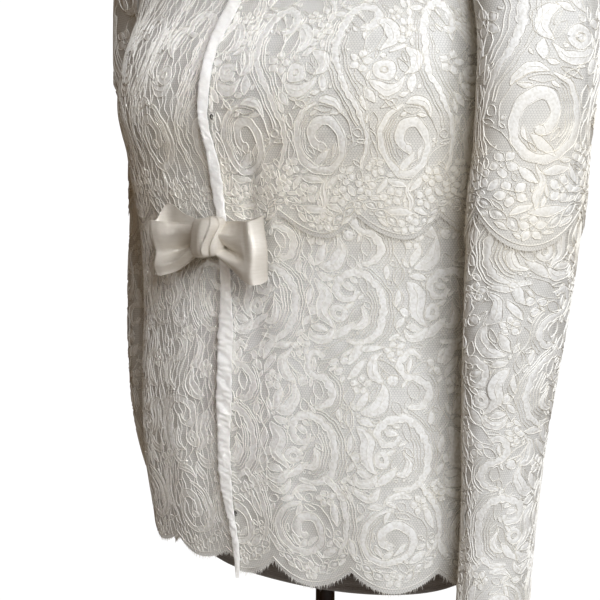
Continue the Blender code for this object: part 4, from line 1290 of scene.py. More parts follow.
NET_THICKNESS = 0.0006
EDGE_CORDS = (0.0011, 0.0038)  # heights of the two cords along a scalloped edge
EDGE_STEPS = 400  # of these cords on a panel
CUFF_STEPS = 240  # and round a sleeve
CUT_STEP = 0.004  # between the columns by which a cloth's flat area is measured
# Lashes below a scalloped edge, with what each may differ by
LASH_STEP = 0.0009
LASH_SHIFT = 0.4  # aside, in steps
LASH_LENGTH = 0.0052
LASH_SHORTEST = 0.35  # as a share of that length
LASH_LEAN = 0.5
LASH_CURL = (-0.15, 0.35)
LASH_ROOT = 0.0006  # how far it starts above the edge
LASH_HALF = 0.00030  # half of its thickness
EDGE_PROBE = (0.001, 0.004)  # how far aside and up the cloth is looked at for its directions


def lace_lift(up):
    """How far the lower lace lies off the cloth's own surface."""
    return np.full_like(up, LACE_LIFT)


def lapped_lift(up):
    """The same for the upper lace, which lies on the lower one at its edge."""
    fade = np.clip((up - LAP_TOP) / (LAP_FADE - LAP_TOP), 0.0, 1.0)
    fade = fade * fade * (3 - 2 * fade)
    return OVERLAP_LIFT + (LACE_LIFT - OVERLAP_LIFT) * fade


def cloth_columns(cloth, step):
    """Places across a cloth for a shell, just inside its seams."""
    if cloth.closed:
        return around(round(2 * math.pi * SLEEVE_RADIUS / step))
    low, high = cloth.across[0] + SEAM_GAP / 2, cloth.across[-1] - SEAM_GAP / 2
    return np.linspace(low, high, round((high - low) / step) + 1)


def shell(name, cloth, low, high, lift, thickness, finish):
    """A thin cloth over a part of a panel or sleeve, between two edges."""
    column_step = next(step for place, step in SHELL_COLUMN.items() if place in name)
    across = cloth_columns(cloth, column_step)
    bottom = low(across)
    top = np.minimum(high(across), cloth.top_at(across) - SEAM_GAP / 2)
    share = np.linspace(0.0, 1.0, max(8, round(float(np.max(top - bottom)) / SHELL_ROW)))[:, None]
    up = bottom + (top - bottom) * share
    places = np.broadcast_to(across, up.shape)
    points, outward = cloth.at(places, up)
    inner = points + outward * lift(up)[..., None]
    outer = inner + outward * thickness
    flat = np.stack((places * (SLEEVE_RADIUS if cloth.closed else 1.0), up), axis=-1)
    return wall(name, inner, outer, finish, cloth.closed, flat)


def lashes(name, cloth, edge, lift, seed):
    """Short threads that stand out below a scalloped edge."""
    chance = np.random.default_rng(seed)
    span = SLEEVE_RADIUS if cloth.closed else 1.0
    count = round((cloth.across[-1] - cloth.across[0]) * span / LASH_STEP)
    across = np.linspace(cloth.across[0], cloth.across[-1], count, endpoint=False)
    across = across + chance.uniform(-LASH_SHIFT, LASH_SHIFT, count) * LASH_STEP / span
    up = edge(across)
    points, outward = cloth.at(across, up)
    beside, higher = EDGE_PROBE
    along = unit(cloth.at(across + beside / span, up)[0] - points)
    below = unit(points - cloth.at(across, up + higher)[0])
    root = points + outward * (lift(up) + NET_THICKNESS / 2)[:, None] - below * LASH_ROOT
    lean = chance.uniform(-LASH_LEAN, LASH_LEAN, count)[:, None]
    curl = chance.uniform(*LASH_CURL, count)[:, None]
    length = LASH_LENGTH * chance.uniform(LASH_SHORTEST, 1.0, count)[:, None]
    tip = root + length * unit(below + along * lean + outward * curl)
    aside_by, out_by = along * LASH_HALF, outward * LASH_HALF
    corners = np.stack((root + aside_by, root - aside_by, root + out_by, tip), axis=1)
    first = np.arange(count)[:, None] * 4
    faces = np.concatenate([first + np.array(face) for face in ((0, 1, 2), (1, 0, 3), (2, 1, 3), (0, 2, 3))])
    return new_piece(name, corners.reshape(-1, 3), [faces], ["lace_cord"])


def cut_area(cloth, low, high):
    """Flat width, length and area of a part of a cloth between two edges."""
    across = cloth_columns(cloth, CUT_STEP)
    bottom, top = low(across), np.minimum(high(across), cloth.top_at(across))
    middle = (bottom + top) / 2
    points = cloth.at(across, middle)[0]
    steps = steps_along(points)
    if cloth.closed:
        steps = np.append(steps, np.linalg.norm(points[0] - points[-1]))
    heights = (top - bottom)[:len(steps)]
    return float(steps.sum()), float(heights.max()), float((steps * heights).sum())


def declare(cloth, low, high):
    """Measures the flat width, length and area of what a shell was cut from; nothing uses them."""
    width, length, area = cut_area(cloth, low, high)


def hem_edge(panel):
    def edge(across):
        return HEM_LOW[panel] + scallop((np.abs(across) - HEM_CUSP[panel]) / HEM_REPEAT, HEM_DEPTH[panel])
    return edge


def waist_edge(panel):
    def edge(across):
        phase = (np.abs(across) - WAIST_CUSP[panel]) / WAIST_REPEAT
        share = np.mod(phase, 1.0)
        low = WAIST_BOTTOM[panel]
        skewed = np.where(share < low, 0.5 * share / low, 1.0 - 0.5 * (1.0 - share) / (1.0 - low))
        return WAIST_LINE + scallop(skewed, WAIST_DEPTH)
    return edge


def sleeve_edge(height, depth):
    return lambda turn: height + scallop((turn - SLEEVE_CUSP_TURN) * SLEEVE_SCALLOPS / (2 * math.pi), depth)


def level(height):
    return lambda across: np.full_like(across, height)


def raised_edge(edge, height):
    return lambda across: edge(across) + height


TO_THE_TOP = level(1.0)  # an upper edge above every cloth's own


def lace_layer(name, cloth, edge, high, lift, tiers, seed, detail):
    """One lace: its net, the motifs on it, the cords and lashes of its edge."""
    net = shell(name, cloth, edge, high, lift, NET_THICKNESS, "lace_net")
    place = (cloth, lambda up: lift(up) + NET_THICKNESS, raised_edge(edge, MOTIF_MARGIN),
             lambda across: np.minimum(high(across), cloth.top_at(across) - MOTIF_MARGIN))
    relief = Relief(*place, CORD_SIZES[detail])
    for strokes, middles, base, across_unit, up_unit in tiers:
        for middle in middles:
            relief.add(strokes, middle, base, across_unit, up_unit)
    run = np.linspace(cloth.across[0], cloth.across[-1], CUFF_STEPS if cloth.closed else EDGE_STEPS)
    for height in EDGE_CORDS:
        trim = np.column_stack((run, edge(run) + height))
        relief.add([cord(trim)], 0.0, 0.0, 1.0, 1.0, drawn_by_hand=False)
    trims = [relief.build(name + "_motifs"), lashes(name + "_lashes", cloth, edge, lift, seed)]
    if detail == GRAINED:
        wavy = Relief(*place, GRAIN_SIZE)
        wavy.add(grain(cloth, cloth.low, float(cloth.top.max())), 0.0, 0.0, 1.0, 1.0)
        trims.append(wavy.build(name + "_cords"))
    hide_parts(name)
    declare(cloth, edge, high)


SPARE_SCALLOPS = 3  # counted beyond a cloth's width, so that its ends are covered too


def middles_of(cloth, repeat, first_cusp, shift=0.0):
    """Middles of the scallops over a cloth, or of the places between them where shift is a half."""
    low, high = cloth.across[0], cloth.across[-1]
    start = first_cusp + (0.5 + shift) * repeat
    count = math.ceil((high - low) / repeat) + SPARE_SCALLOPS
    places = start + np.arange(-count, count) * repeat
    return [place for place in places if low - repeat < place < high + repeat]


# Heights of one repeat unit on the upper lace, the lower sleeves and the upper sleeves
UPPER_UNIT = 0.0605
CUFF_UNIT = 0.062
ARM_UNIT = 0.074
CUFF_LAP = 0.014  # how much higher the lower lace of the sleeves ends than that of the body


def tiers_of(lace, detail, straight, between, base, across_unit, up_unit, count):
    """A lace's border and as many tiers of its field, every other one set between the scallops' middles."""
    border, field = DESIGNS[lace, detail]
    rise = FIELD_RISE[lace] * up_unit
    tiers = [(border, straight, base, across_unit, up_unit)]
    for tier in range(count):
        tiers.append((field, between if tier % 2 else straight, base + tier * rise, across_unit, up_unit))
    return tiers


def line_cloth(place, cloth, low):
    """The satin lining of a panel or sleeve."""
    name = "lining_" + place
    satin = shell(name, cloth, low, TO_THE_TOP, lambda up: np.zeros_like(up), CLOTH, "lining_satin")
    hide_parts(name)
    declare(cloth, low, TO_THE_TOP)


def dress_body(cloths):
    """Lining and both laces of the jacket's body."""
    for seed, (place, cloth) in enumerate(cloths.items()):
        panel = place.replace("front_", "")
        detail = {"left": FINE, "right": GRAINED, "back": PLAIN}[panel]
        hem, waist = hem_edge(panel), waist_edge(panel)
        line_cloth(place, cloth, raised_edge(hem, LINING_SET_BACK))
        straight = middles_of(cloth, HEM_REPEAT, HEM_CUSP[panel])
        between = middles_of(cloth, HEM_REPEAT, HEM_CUSP[panel], 0.5)
        tiers = tiers_of("lower", detail, straight, between, 0.0, HEM_REPEAT, HEM_REPEAT, 2)
        lace_layer("lower_lace_" + place, cloth, hem, level(LAP_TOP), lace_lift, tiers, 10 + seed, detail)
        skew = WAIST_BOTTOM[panel] - 0.5
        straight = middles_of(cloth, WAIST_REPEAT, WAIST_CUSP[panel], skew)
        between = middles_of(cloth, WAIST_REPEAT, WAIST_CUSP[panel], skew + 0.5)
        tiers = tiers_of("upper", detail, straight, between, WAIST_LINE, WAIST_REPEAT, UPPER_UNIT, 3)
        lace_layer("upper_lace_" + place, cloth, waist, TO_THE_TOP, lapped_lift, tiers, 20 + seed, detail)


def dress_sleeves(cloths):
    """Lining and both laces of the sleeves."""
    repeat = 2 * math.pi / SLEEVE_SCALLOPS
    straight = [SLEEVE_CUSP_TURN + (k + 0.5) * repeat for k in range(SLEEVE_SCALLOPS)]
    between = [SLEEVE_CUSP_TURN + k * repeat for k in range(SLEEVE_SCALLOPS)]
    cuff, cuff_top = sleeve_edge(CUFF_HEIGHT, CUFF_DEPTH), level(LAP_TOP + CUFF_LAP)
    elbow = sleeve_edge(ELBOW_HEIGHT, ELBOW_DEPTH)
    for seed, side in enumerate(SLEEVES):
        cloth = sleeve_cloth(side, cloths)
        detail = FINE if side == "left" else PLAIN
        place = "sleeve_" + side
        line_cloth(place, cloth, raised_edge(cuff, LINING_SET_BACK))
        tiers = tiers_of("lower", detail, straight, between, CUFF_HEIGHT, repeat, CUFF_UNIT, 3)
        lace_layer("lower_lace_" + place, cloth, cuff, cuff_top, lace_lift, tiers, 30 + seed, detail)
        tiers = tiers_of("upper", detail, straight, between, ELBOW_HEIGHT, repeat, ARM_UNIT, 2)
        lace_layer("upper_lace_" + place, cloth, elbow, TO_THE_TOP, lapped_lift, tiers, 40 + seed, detail)


def binding_seat(up):
    """How far the underside of the front binding lies off the cloth's own surface."""
    lace = LACE_LIFT + CLOTH
    lapped = OVERLAP_LIFT + CLOTH
    return np.interp(up, (*LAP_START, LAP_TOP, LAP_FADE), (lace, lapped, lapped, lace)) + SEAM_GAP


# The front binding along its way up: half width, half thickness, how strongly it is gathered, and how much
# thicker it is at its folded side than in the middle, as a share
BINDING = Table(
    ("way", "half_width", "half_thickness", "gathers", "fold"),
    ((-0.020, 0.0016, 0.0012, 0.10, 0.10),
     (0.000, 0.0022, 0.0016, 0.14, 0.20),
     (0.032, 0.0030, 0.0018, 0.24, 0.40),
     (0.056, 0.0046, 0.0020, 0.28, 0.70),
     (0.110, 0.0064, 0.0021, 0.32, 0.85),
     (0.145, 0.0072, 0.0021, 0.33, 0.85),
     (0.178, 0.0070, 0.0021, 0.30, 0.85),
     (0.208, 0.0058, 0.0017, 0.20, 0.60),
     (0.250, 0.0050, 0.0016, 0.08, 0.10),
     (0.300, 0.0049, 0.0021, 0.11, 0.70),
     (0.345, 0.0038, 0.0023, 0.13, 0.85),
     (0.380, 0.0044, 0.0023, 0.12, 0.90),
     (0.420, 0.0053, 0.0023, 0.11, 0.90),
     (0.470, 0.0056, 0.0022, 0.10, 0.85),
     (0.600, 0.0050, 0.0017, 0.05, 0.40)))
BINDING_STEP = 0.0010  # between the rings of the front binding
BINDING_SIDES = 22
STRIP_SQUARE = (0.8, 0.85)  # powers that square off a strip's section, across and out
HOOKS = {"hook_upper": 0.350, "hook_lower": 0.042}
HOOK_PULL = 0.0022  # how far the upper hook draws the binding aside
HOOK_PULL_LENGTH = 0.022  # over what length this dies away
BINDING_SWAY = 0.0006  # how far the binding wanders below the bow
SWAY_LENGTH = 0.017
SWAY_TOP = 0.24  # where it starts to wander
SWAY_FADE = 0.1
BINDING_EDGE = 0.0005  # waves of its edges, and their lengths: fine ones, how they swell, and long ones
EDGE_LENGTHS = (0.0021, 0.017, 0.0093)
# What bends the wrinkles of gathered satin: size, length along the strip and slant over it
GATHER_BENDS = ((0.0015, 0.0031, 0.0), (0.0012, 0.0113, 2.0))
# The wrinkles: size, length, slant, start, and length and slant of the wave in which they swell and fade
GATHERS = ((1.0, 0.0057, 0.55, 0.0, 0.0071, 1.7), (0.9, 0.0098, -0.45, 1.3, 0.0127, -1.0))
PUCKER = (0.5, 0.0172, 0.5, 0.4)  # a longer wave under them: size, length, slant and start


def gathers(way, across, amount):
    """Small slanting wrinkles of a gathered satin strip, as a share of its thickness."""
    bent = way
    for size, length, slant in GATHER_BENDS:
        bent = bent + size * np.sin(way / length + slant * across)
    waves = 0.0
    for size, length, slant, start, swell_length, swell_slant in GATHERS:
        wrinkle = size * np.sin(2 * math.pi * (bent / length + slant * across) + start)
        waves = waves + wrinkle * np.sin(way / swell_length + swell_slant * across)
    size, length, slant, start = PUCKER
    return amount * (waves + size * np.sin(2 * math.pi * (way / length + slant * across) + start))


def satin_strip(name, middles, across, out, half_across, half_out, way, amount, fold, sides):
    """A soft flat satin strip along a path, wrinkled by its gathers, and thicker at one side by its fold."""
    angle = around(sides)
    over = squared(np.cos(angle), STRIP_SQUARE[0])
    lift = squared(np.sin(angle), STRIP_SQUARE[1])
    wrinkled = gathers(way[:, None], over[None], amount[:, None]) - fold[:, None] * over
    puff = 1.0 + np.where(lift > 0, wrinkled, 0.0)
    rings = (middles[:, None] + across[:, None] * (half_across * over)[..., None]
             + out[:, None] * (half_out * lift * puff)[..., None])
    faces = tube_faces(len(middles), sides)
    return new_piece(name, rings.reshape(-1, 3), faces, ["binding_satin"], sharp=70.0)


def front_binding(cloth):
    """The satin binding down the front edge, smooth over the bust and gathered below the bow."""
    top = float(cloth.top_at(np.array([0.0]))[0])
    bottom = float(hem_edge("left")(np.array([0.0]))[0])
    way = np.arange(bottom - BINDING_END, top, BINDING_STEP)
    points, out = cloth.at(np.zeros_like(way), way)
    points[:, 0] = 0.0
    points[:, 2] += np.minimum(0.0, way - cloth.low)
    out[:, 0] = 0.0
    half_width = BINDING.at("half_width", way)[:, None]
    half_out = BINDING.at("half_thickness", way)[:, None]
    middles = points + out * (binding_seat(way)[:, None] + half_out)
    middles[:, 0] -= HOOK_PULL * np.exp(-np.abs(way - HOOKS["hook_upper"]) / HOOK_PULL_LENGTH)
    sway = np.clip((SWAY_TOP - way) / SWAY_FADE, 0.0, 1.0)
    middles[:, 0] += BINDING_SWAY * np.sin(way / SWAY_LENGTH) * sway
    fine, swell, coarse = EDGE_LENGTHS
    edge = BINDING_EDGE * np.sin(way / fine) * np.sin(way / swell) + BINDING_EDGE * np.sin(way / coarse)
    across = np.tile((1.0, 0.0, 0.0), (len(way), 1))
    strip = satin_strip("front_binding", middles, across, out, half_width + edge[:, None], half_out, way,
                        BINDING.at("gathers", way), BINDING.at("fold", way), BINDING_SIDES)
    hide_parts("front_binding")


# Stretches of the neck edge: from and to which share of the neck's half width each runs, and which of its
# points are kept, so that none comes twice where two stretches meet
NECK_RUNS = (("front_left", 0.0, 1.0, slice(None, -1)),
             ("back", 1.0, -1.0, slice(1, -1)),
             ("front_right", 1.0, 0.0, slice(1, None)))
NECK_STEPS = 60
NECK_SMOOTHINGS = 6
NECK_GATHERS = 0.05
NECK_SIDES = 16


def neck_binding(cloths):
    """The satin binding round the neck."""
    edges, outs = [], []
    for place, start, stop, kept in NECK_RUNS:
        cloth = cloths[place]
        corner = NECK_SHARE * cloth.across[-1]
        across = np.linspace(start, stop, NECK_STEPS)[kept] * corner
        points, outward = cloth.at(across, cloth.top_at(across))
        edges.append(points)
        outs.append(outward)
    edge, out = np.concatenate(edges), np.concatenate(outs)
    for _ in range(NECK_SMOOTHINGS):
        edge[1:-1] = (edge[:-2] + 2 * edge[1:-1] + edge[2:]) / 4
        out[1:-1] = (out[:-2] + 2 * out[1:-1] + out[2:]) / 4
    out = unit(out)
    inwards = unit(np.cross(out, np.gradient(edge, axis=0)))
    middles = edge + inwards * (NECK_BINDING_HALF + SEAM_GAP) + out * (LACE_LIFT + CLOTH) / 2
    way = way_along(middles)
    ones = np.ones((len(way), 1))
    strip = satin_strip("neck_binding", middles, inwards, out, NECK_BINDING_HALF * ones,
                        BINDING_THICKNESS / 2 * ones, way, NECK_GATHERS * ones[:, 0], 0.0 * way, NECK_SIDES)
    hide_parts("neck_binding")


def bow_back():
    """The Y of the plane that the bow lies against."""
    seat = float(binding_seat(np.array([BOW_LEVEL]))[0])
    return -(float(body_reach(0.0, BOW_LEVEL, -1)) + seat + BINDING_THICKNESS + SEAM_GAP)


# Each loop of the bow, with the side it lies on, along its satin from the knot round its end and back behind:
# share of the way, how far it reaches and stands out, half its height and how far its middle is raised
LOOP_COLUMNS = ("way", "reach", "out", "half", "raised")
LOOPS = {
    "bow_loop_left": (1.0, Table(LOOP_COLUMNS, (
        (0.00, 0.00, 0.0060, 0.0100, 0.0060), (0.10, 0.16, 0.0085, 0.0135, 0.0050),
        (0.25, 0.46, 0.0102, 0.0185, 0.0020), (0.40, 0.78, 0.0154, 0.0225, -0.0005),
        (0.48, 0.93, 0.0164, 0.0234, -0.0012), (0.535, 0.985, 0.0112, 0.0238, 0.0000),
        (0.60, 1.000, 0.0056, 0.0236, 0.0022), (0.66, 0.96, 0.0026, 0.0230, 0.0030),
        (0.84, 0.50, 0.0014, 0.0170, 0.0030), (1.00, 0.00, 0.0014, 0.0100, 0.0050)))),
    "bow_loop_right": (-1.0, Table(LOOP_COLUMNS, (
        (0.00, 0.00, 0.0060, 0.0105, 0.0050), (0.10, 0.15, 0.0085, 0.0130, 0.0030),
        (0.28, 0.51, 0.0090, 0.0185, -0.0025), (0.43, 0.83, 0.0146, 0.0210, -0.0048),
        (0.49, 0.93, 0.0144, 0.0208, -0.0044), (0.54, 0.94, 0.0074, 0.0172, -0.0010),
        (0.60, 0.87, 0.0026, 0.0186, 0.0082), (0.76, 0.47, 0.0014, 0.0150, 0.0068),
        (1.00, 0.00, 0.0014, 0.0105, 0.0060))))}
# Folds of the loops' fronts: place across the loop at the knot, how far it swings on the way out, half width,
# rise, and the share of the loop's length after which it has died away
LOOP_FOLDS = {
    "bow_loop_left": ((0.30, 0.06, 0.42, 0.0080, 0.66), (-0.34, -0.02, 0.15, -0.0072, 0.66),
                      (-0.78, 0.20, 0.28, 0.0070, 0.90), (0.92, 0.00, 0.16, -0.0040, 0.60)),
    "bow_loop_right": ((0.00, -0.12, 0.22, -0.0135, 1.04), (0.56, 0.04, 0.26, 0.0050, 1.10),
                       (-0.56, -0.06, 0.20, 0.0085, 1.10), (0.94, 0.00, 0.14, -0.0030, 0.60))}
# How much farther the loops' ends reach at the top
LOOP_SLANT = {"bow_loop_left": -0.0026, "bow_loop_right": 0.0042}
LOOP_POINTS = (96, 49)  # along a loop and across it
LOOP_IN_KNOT = 0.002  # how far a loop starts inside the knot
LOOP_THICKNESS = 0.0008
LOOP_FRONT = 0.35  # power by which the folds of its front fade on the way to its end
FOLD_FADE = (1.15, 0.6)  # where a fold ends, against its table, and the power by which it fades
FOLD_START = (0.12, 0.15)  # reach at which a fold is full, and its least strength at the knot
FOLD_SPREAD = (0.7, 0.5)  # width of a fold at the knot and what it gains on the way, as shares
LOOP_CURL = 0.0018  # how far the edges of its front curl out
CURL_START = 0.4  # square of the share of its half height where they start to
LOOP_WAVE = 0.0012  # waves of its ends, up and out
TUCK_WAVE = 0.0008
LEAST_OUT = 0.0004
KNOT_MIDDLE = (0.0035, 0.0070)  # right of and above the bow's middle
KNOT_SIZE = (0.0168, 0.0152)  # half width and half height, with its folds


def bow_loop(name):
    """One folded satin loop: its front runs out from the knot, turns round and comes back behind."""
    sign, plan = LOOPS[name]
    along, across = LOOP_POINTS
    travel = np.linspace(0.0, 1.0, along)
    high = np.linspace(-1.0, 1.0, across)[None]
    start = KNOT_HALF_WIDTH - LOOP_IN_KNOT
    reach, out, half, raised = (plan.at(column, travel)[:, None] for column in LOOP_COLUMNS[1:])
    front = np.clip(1.0 - 2.0 * travel, 0.0, 1.0)[:, None] ** LOOP_FRONT
    (stretch, power), (full, least), (narrow, gain) = FOLD_FADE, FOLD_START, FOLD_SPREAD
    rise = 0.0
    for place, sweep, width, lift, fade in LOOP_FOLDS[name]:
        strength = np.clip(1.0 - reach / (stretch * fade), 0.0, 1.0) ** power
        strength = strength * np.clip(reach / full, least, 1.0)
        away = (high - place - sweep * reach) / (width * (narrow + gain * reach))
        rise = rise + lift * strength * np.exp(-away ** 2)
    curl = LOOP_CURL * (high ** 2 - CURL_START) * reach ** 2 * front
    z = BOW_LEVEL + HEM_HEIGHT + half * high + raised + LOOP_WAVE * np.sin(3.0 * high + sign) * reach ** 2
    tuck = (TUCK_WAVE * np.sin(4.0 * high + 2.0 * sign) + LOOP_SLANT[name] * high) * reach ** 3
    x = start + (BOW_WIDTH / 2 - start) * reach + tuck
    depth = np.maximum(out + (rise + curl) * front, LEAST_OUT)
    centre = np.stack((BOW_MIDDLE + sign * x, bow_back() - CLOTH - depth, z), axis=-1)
    normal = unit(np.cross(np.gradient(centre, axis=0), np.gradient(centre, axis=1)))
    inner, outer = centre - normal * LOOP_THICKNESS / 2, centre + normal * LOOP_THICKNESS / 2
    piece = wall(name, inner, outer, "ivory_satin")
    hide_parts(name)


# Folds down the knot: place across, how far it snakes, half width and rise
KNOT_FOLDS = ((0.645, 0.17, 0.045, 0.0044), (0.53, 0.16, 0.042, -0.0066), (0.77, 0.15, 0.050, -0.0066),
              (0.10, 0.00, 0.300, 0.0016))
KNOT_TILT = 0.0006  # how much farther the knot stands out at its right-hand side
KNOT_LEAN = 0.0012  # how far its top leans to that side
KNOT_SKEW = 0.0010  # how much higher that side is
KNOT_PROUD = 0.006  # how much deeper it is than the loops
KNOT_WAIST = 0.16  # how much narrower it is half way up
KNOT_SQUARE = (0.85, 0.75, 0.8)  # powers that square it off across, out and up
KNOT_ENDS = (0.40, 0.45)  # powers by which it closes at its ends, across and out
KNOT_FADE = (0.5, 0.4)  # powers by which its folds fade at its sides and ends
KNOT_SNAKE = 2.4  # how far round the folds snake, in radians from the middle to an end
KNOT_CLEAR = 0.94  # keeps its back clear of the binding
KNOT_POINTS = (50, 160)  # from the lower to the upper end, and round


def bow_knot():
    """The knot: a satin band wrapped round the middle, with folds down it and a rolled edge."""
    rows, columns = KNOT_POINTS
    rise = np.linspace(-math.pi / 2, math.pi / 2, rows)[:, None]
    turn = around(columns)[None]
    depth = BOW_DEPTH + KNOT_PROUD
    wide, tall = KNOT_SIZE
    across, out, up = KNOT_SQUARE
    share = squared(np.cos(turn), across)
    level_up = squared(np.sin(rise), up)
    x = wide * squared(np.cos(rise), KNOT_ENDS[0]) * share * (1.0 - KNOT_WAIST * (1.0 - level_up ** 2))
    y = depth / 2 * squared(np.cos(rise), KNOT_ENDS[1]) * squared(np.sin(turn), out)
    folds = 0.0
    for place, snake, width, lift in KNOT_FOLDS:
        away = share - place - snake * np.sin(KNOT_SNAKE * level_up)
        folds = folds + lift * np.exp(-(away / width) ** 2)
    front = np.clip(-np.sin(turn), 0.0, 1.0) ** KNOT_FADE[0] * np.cos(rise) ** KNOT_FADE[1]
    middle_x, middle_up = KNOT_MIDDLE
    points = np.stack((BOW_MIDDLE + middle_x + x + KNOT_LEAN * level_up,
                       bow_back() - CLOTH - depth / 2 + y * KNOT_CLEAR - (folds + KNOT_TILT * share) * front,
                       BOW_LEVEL + middle_up + HEM_HEIGHT + tall * level_up + KNOT_SKEW * share), axis=-1)
    faces = tube_faces(rows, columns)
    piece = new_piece("bow_knot", points.reshape(-1, 3), faces, ["ivory_satin"], sharp=80.0)
    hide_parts("bow_knot")


# Shares of the jacket's sections that the form fills, as in the part
FORM_FILL = Table(
    ("height", "wide", "deep", "set_back"),
    ((-0.030, 0.520, 0.520, 0.015),
     (-0.026, 0.690, 0.710, 0.015),
     (-0.014, 0.800, 0.810, 0.012),
     (0.010, 0.850, 0.865, 0.008),
     (0.050, 0.870, 0.880, 0.003),
     (0.100, 0.860, 0.880, 0.000),
     (0.200, 0.810, 0.830, 0.000),
     (0.268, 0.800, 0.820, 0.000),
     (0.355, 0.945, 0.955, 0.000),
     (0.438, 0.965, 0.965, 0.000),
     (0.495, 0.985, 0.990, 0.000),
     (0.540, 0.980, 0.987, 0.000),
     (0.568, 0.955, 0.935, 0.000),
     (0.609, 0.860, 0.800, 0.000)))
FORM_DROP = 0.003  # how far its shoulders lie below the cloth
FORM_SHRINK = 0.996  # the smooth form stays inside the part's faceted one
FORM_SIDES = 96
FORM_NECK = Table(("height", "wide", "deep", "middle"),
                  ((0.583, 0.0770, 0.0560, 0.004), (0.599, 0.0630, 0.0560, 0.005),
                   (0.620, 0.0550, 0.0520, 0.006), (0.672, 0.0530, 0.0510, 0.006)))
NECK_LOW = 0.599  # where the neck starts
# Heights of its rings: from, to and how many, at the closed bottom, up the torso and up the neck
FORM_LEVELS = ((-0.0305, -0.014, 8), (-0.010, 0.583, 60), (NECK_LOW, NECK_TOP, 12))


def form_ring(height):
    """One ring of the dress form."""
    turn = around(FORM_SIDES)
    if height >= NECK_LOW:
        return np.column_stack((FORM_NECK.at("wide", height) * np.sin(turn),
                                FORM_NECK.at("middle", height) - FORM_NECK.at("deep", height) * np.cos(turn),
                                np.full_like(turn, height)))
    cloth_height = height + FORM_DROP
    ridge = NECK_POINT[0] + (NECK_POINT[1] - cloth_height) / SHOULDER_SLOPE
    limit = min(float(BODY.at("half_width", cloth_height)), ridge)
    power = 2.0 / BODY.at("back_square", cloth_height)
    x = limit * squared(np.sin(turn), power)
    y = np.where(np.cos(turn) > 0, -body_reach(x, cloth_height, -1), body_reach(x, cloth_height, 1))
    return np.column_stack((x * FORM_FILL.at("wide", height) * FORM_SHRINK,
                            y * FORM_FILL.at("deep", height) * FORM_SHRINK + FORM_FILL.at("set_back", height),
                            np.full_like(turn, height)))


def dress_form():
    """The padded torso with its neck, in jersey."""
    heights = np.concatenate([np.linspace(*levels) for levels in FORM_LEVELS])
    rings = np.array([form_ring(height) for height in heights])
    rings[..., 2] += HEM_HEIGHT
    faces = tube_faces(len(heights), FORM_SIDES)
    piece = new_piece("form_torso", rings.reshape(-1, 3), faces, ["taupe_jersey"], sharp=70.0)
    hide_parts("form_torso")


CAP_RADIUS = 0.0530
CAP_HEIGHT = 0.008
CAP_ROUND = 0.0028
CAP_BACK = 0.006  # how far the neck lies behind the pole's axis
POLE_RINGS = 12
CORE = 0.001  # a turned piece's end is closed by a disc of this radius
BEVEL = 0.001  # of the base's foot and of its socket
SOCKET_TOP = 0.0500
BASE_ROUND = (0.006, 0.0036)  # how far the base's upper edge is rounded, inwards and down
# Top of the base above its rim, with the socket's outside: radii and heights
BASE_TOP = [(0.090, 0.0135), (0.050, 0.0150), (0.030, 0.0180), (0.0215, 0.0210), (0.020, 0.0250),
            (0.020, 0.0465), (0.0190, 0.0490), (0.0170, SOCKET_TOP)]


def stand():
    """Neck cap, pole and base, with rounded edges."""
    low = HEM_HEIGHT + NECK_TOP + SEAM_GAP
    high = low + CAP_HEIGHT
    lower = [(CAP_RADIUS - CAP_ROUND * (1 - math.sin(a)), low + CAP_ROUND * (1 - math.cos(a)))
             for a in np.linspace(0.0, math.pi / 2, 6)]
    upper = [(r, low + high - h) for r, h in reversed(lower)]
    flat_top = [(0.030, high), (0.012, high), (2 * CORE, high)]
    cap = turned("neck_cap", [(2 * CORE, low)] + lower + upper + flat_top, "dark_wood")
    for corner in cap.data.vertices:
        corner.co.y += CAP_BACK
    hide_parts("neck_cap")
    low, high = BASE_RIM + SEAM_GAP, HEM_HEIGHT + FORM_BOTTOM - SEAM_GAP
    rings = [(POLE_RADIUS, low + (high - low) * k / POLE_RINGS) for k in range(POLE_RINGS + 1)]
    pole = turned("stand_pole", [(CORE, low)] + rings + [(CORE, high)], "dark_metal", sides=48)
    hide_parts("stand_pole")
    socket = POLE_RADIUS + SEAM_GAP
    inwards, down = BASE_ROUND
    rim = [(BASE_RADIUS - inwards * (1 - math.cos(a)), BASE_RIM - down * (1 - math.sin(a)))
           for a in np.linspace(0.0, math.pi / 2, 7)]
    foot = [(CORE, 0.0), (BASE_RADIUS - BEVEL, 0.0), (BASE_RADIUS, BEVEL)]
    bore = [(socket + BEVEL, SOCKET_TOP), (socket, SOCKET_TOP - BEVEL), (socket, BASE_RIM), (CORE, BASE_RIM)]
    base = turned("stand_base", foot + rim + BASE_TOP + bore, "dark_metal")
    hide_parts("stand_base")


WIRE_SIDES = 8
ANY_WAY = (0.31, 0.72, 0.62)  # a direction that no wire runs in


def wire(name, points, radius, finish):
    """A thin bent wire through points in space."""
    along = unit(np.gradient(points, axis=0))
    side = unit(np.cross(along, ANY_WAY))
    over = np.cross(along, side)
    angle = around(WIRE_SIDES)[None, :, None]
    rings = points[:, None] + radius * (side[:, None] * np.cos(angle) + over[:, None] * np.sin(angle))
    return new_piece(name, rings.reshape(-1, 3), tube_faces(len(points), WIRE_SIDES), [finish])


def armhole_seams(cloths):
    """Narrow lace rolls in the seams between sleeves and body."""
    turn = np.linspace(0.0, 2 * math.pi, SLEEVE_COLUMNS, endpoint=False)
    for side in SLEEVES:
        loop = armhole_loop(side, turn, cloths, SEAM_ROLL_SEAT)
        loop[:, 2] += HEM_HEIGHT
        roll = wire("armhole_seam_" + side, np.concatenate((loop, loop[:2])), SEAM_ROLL, "lace_cloth")


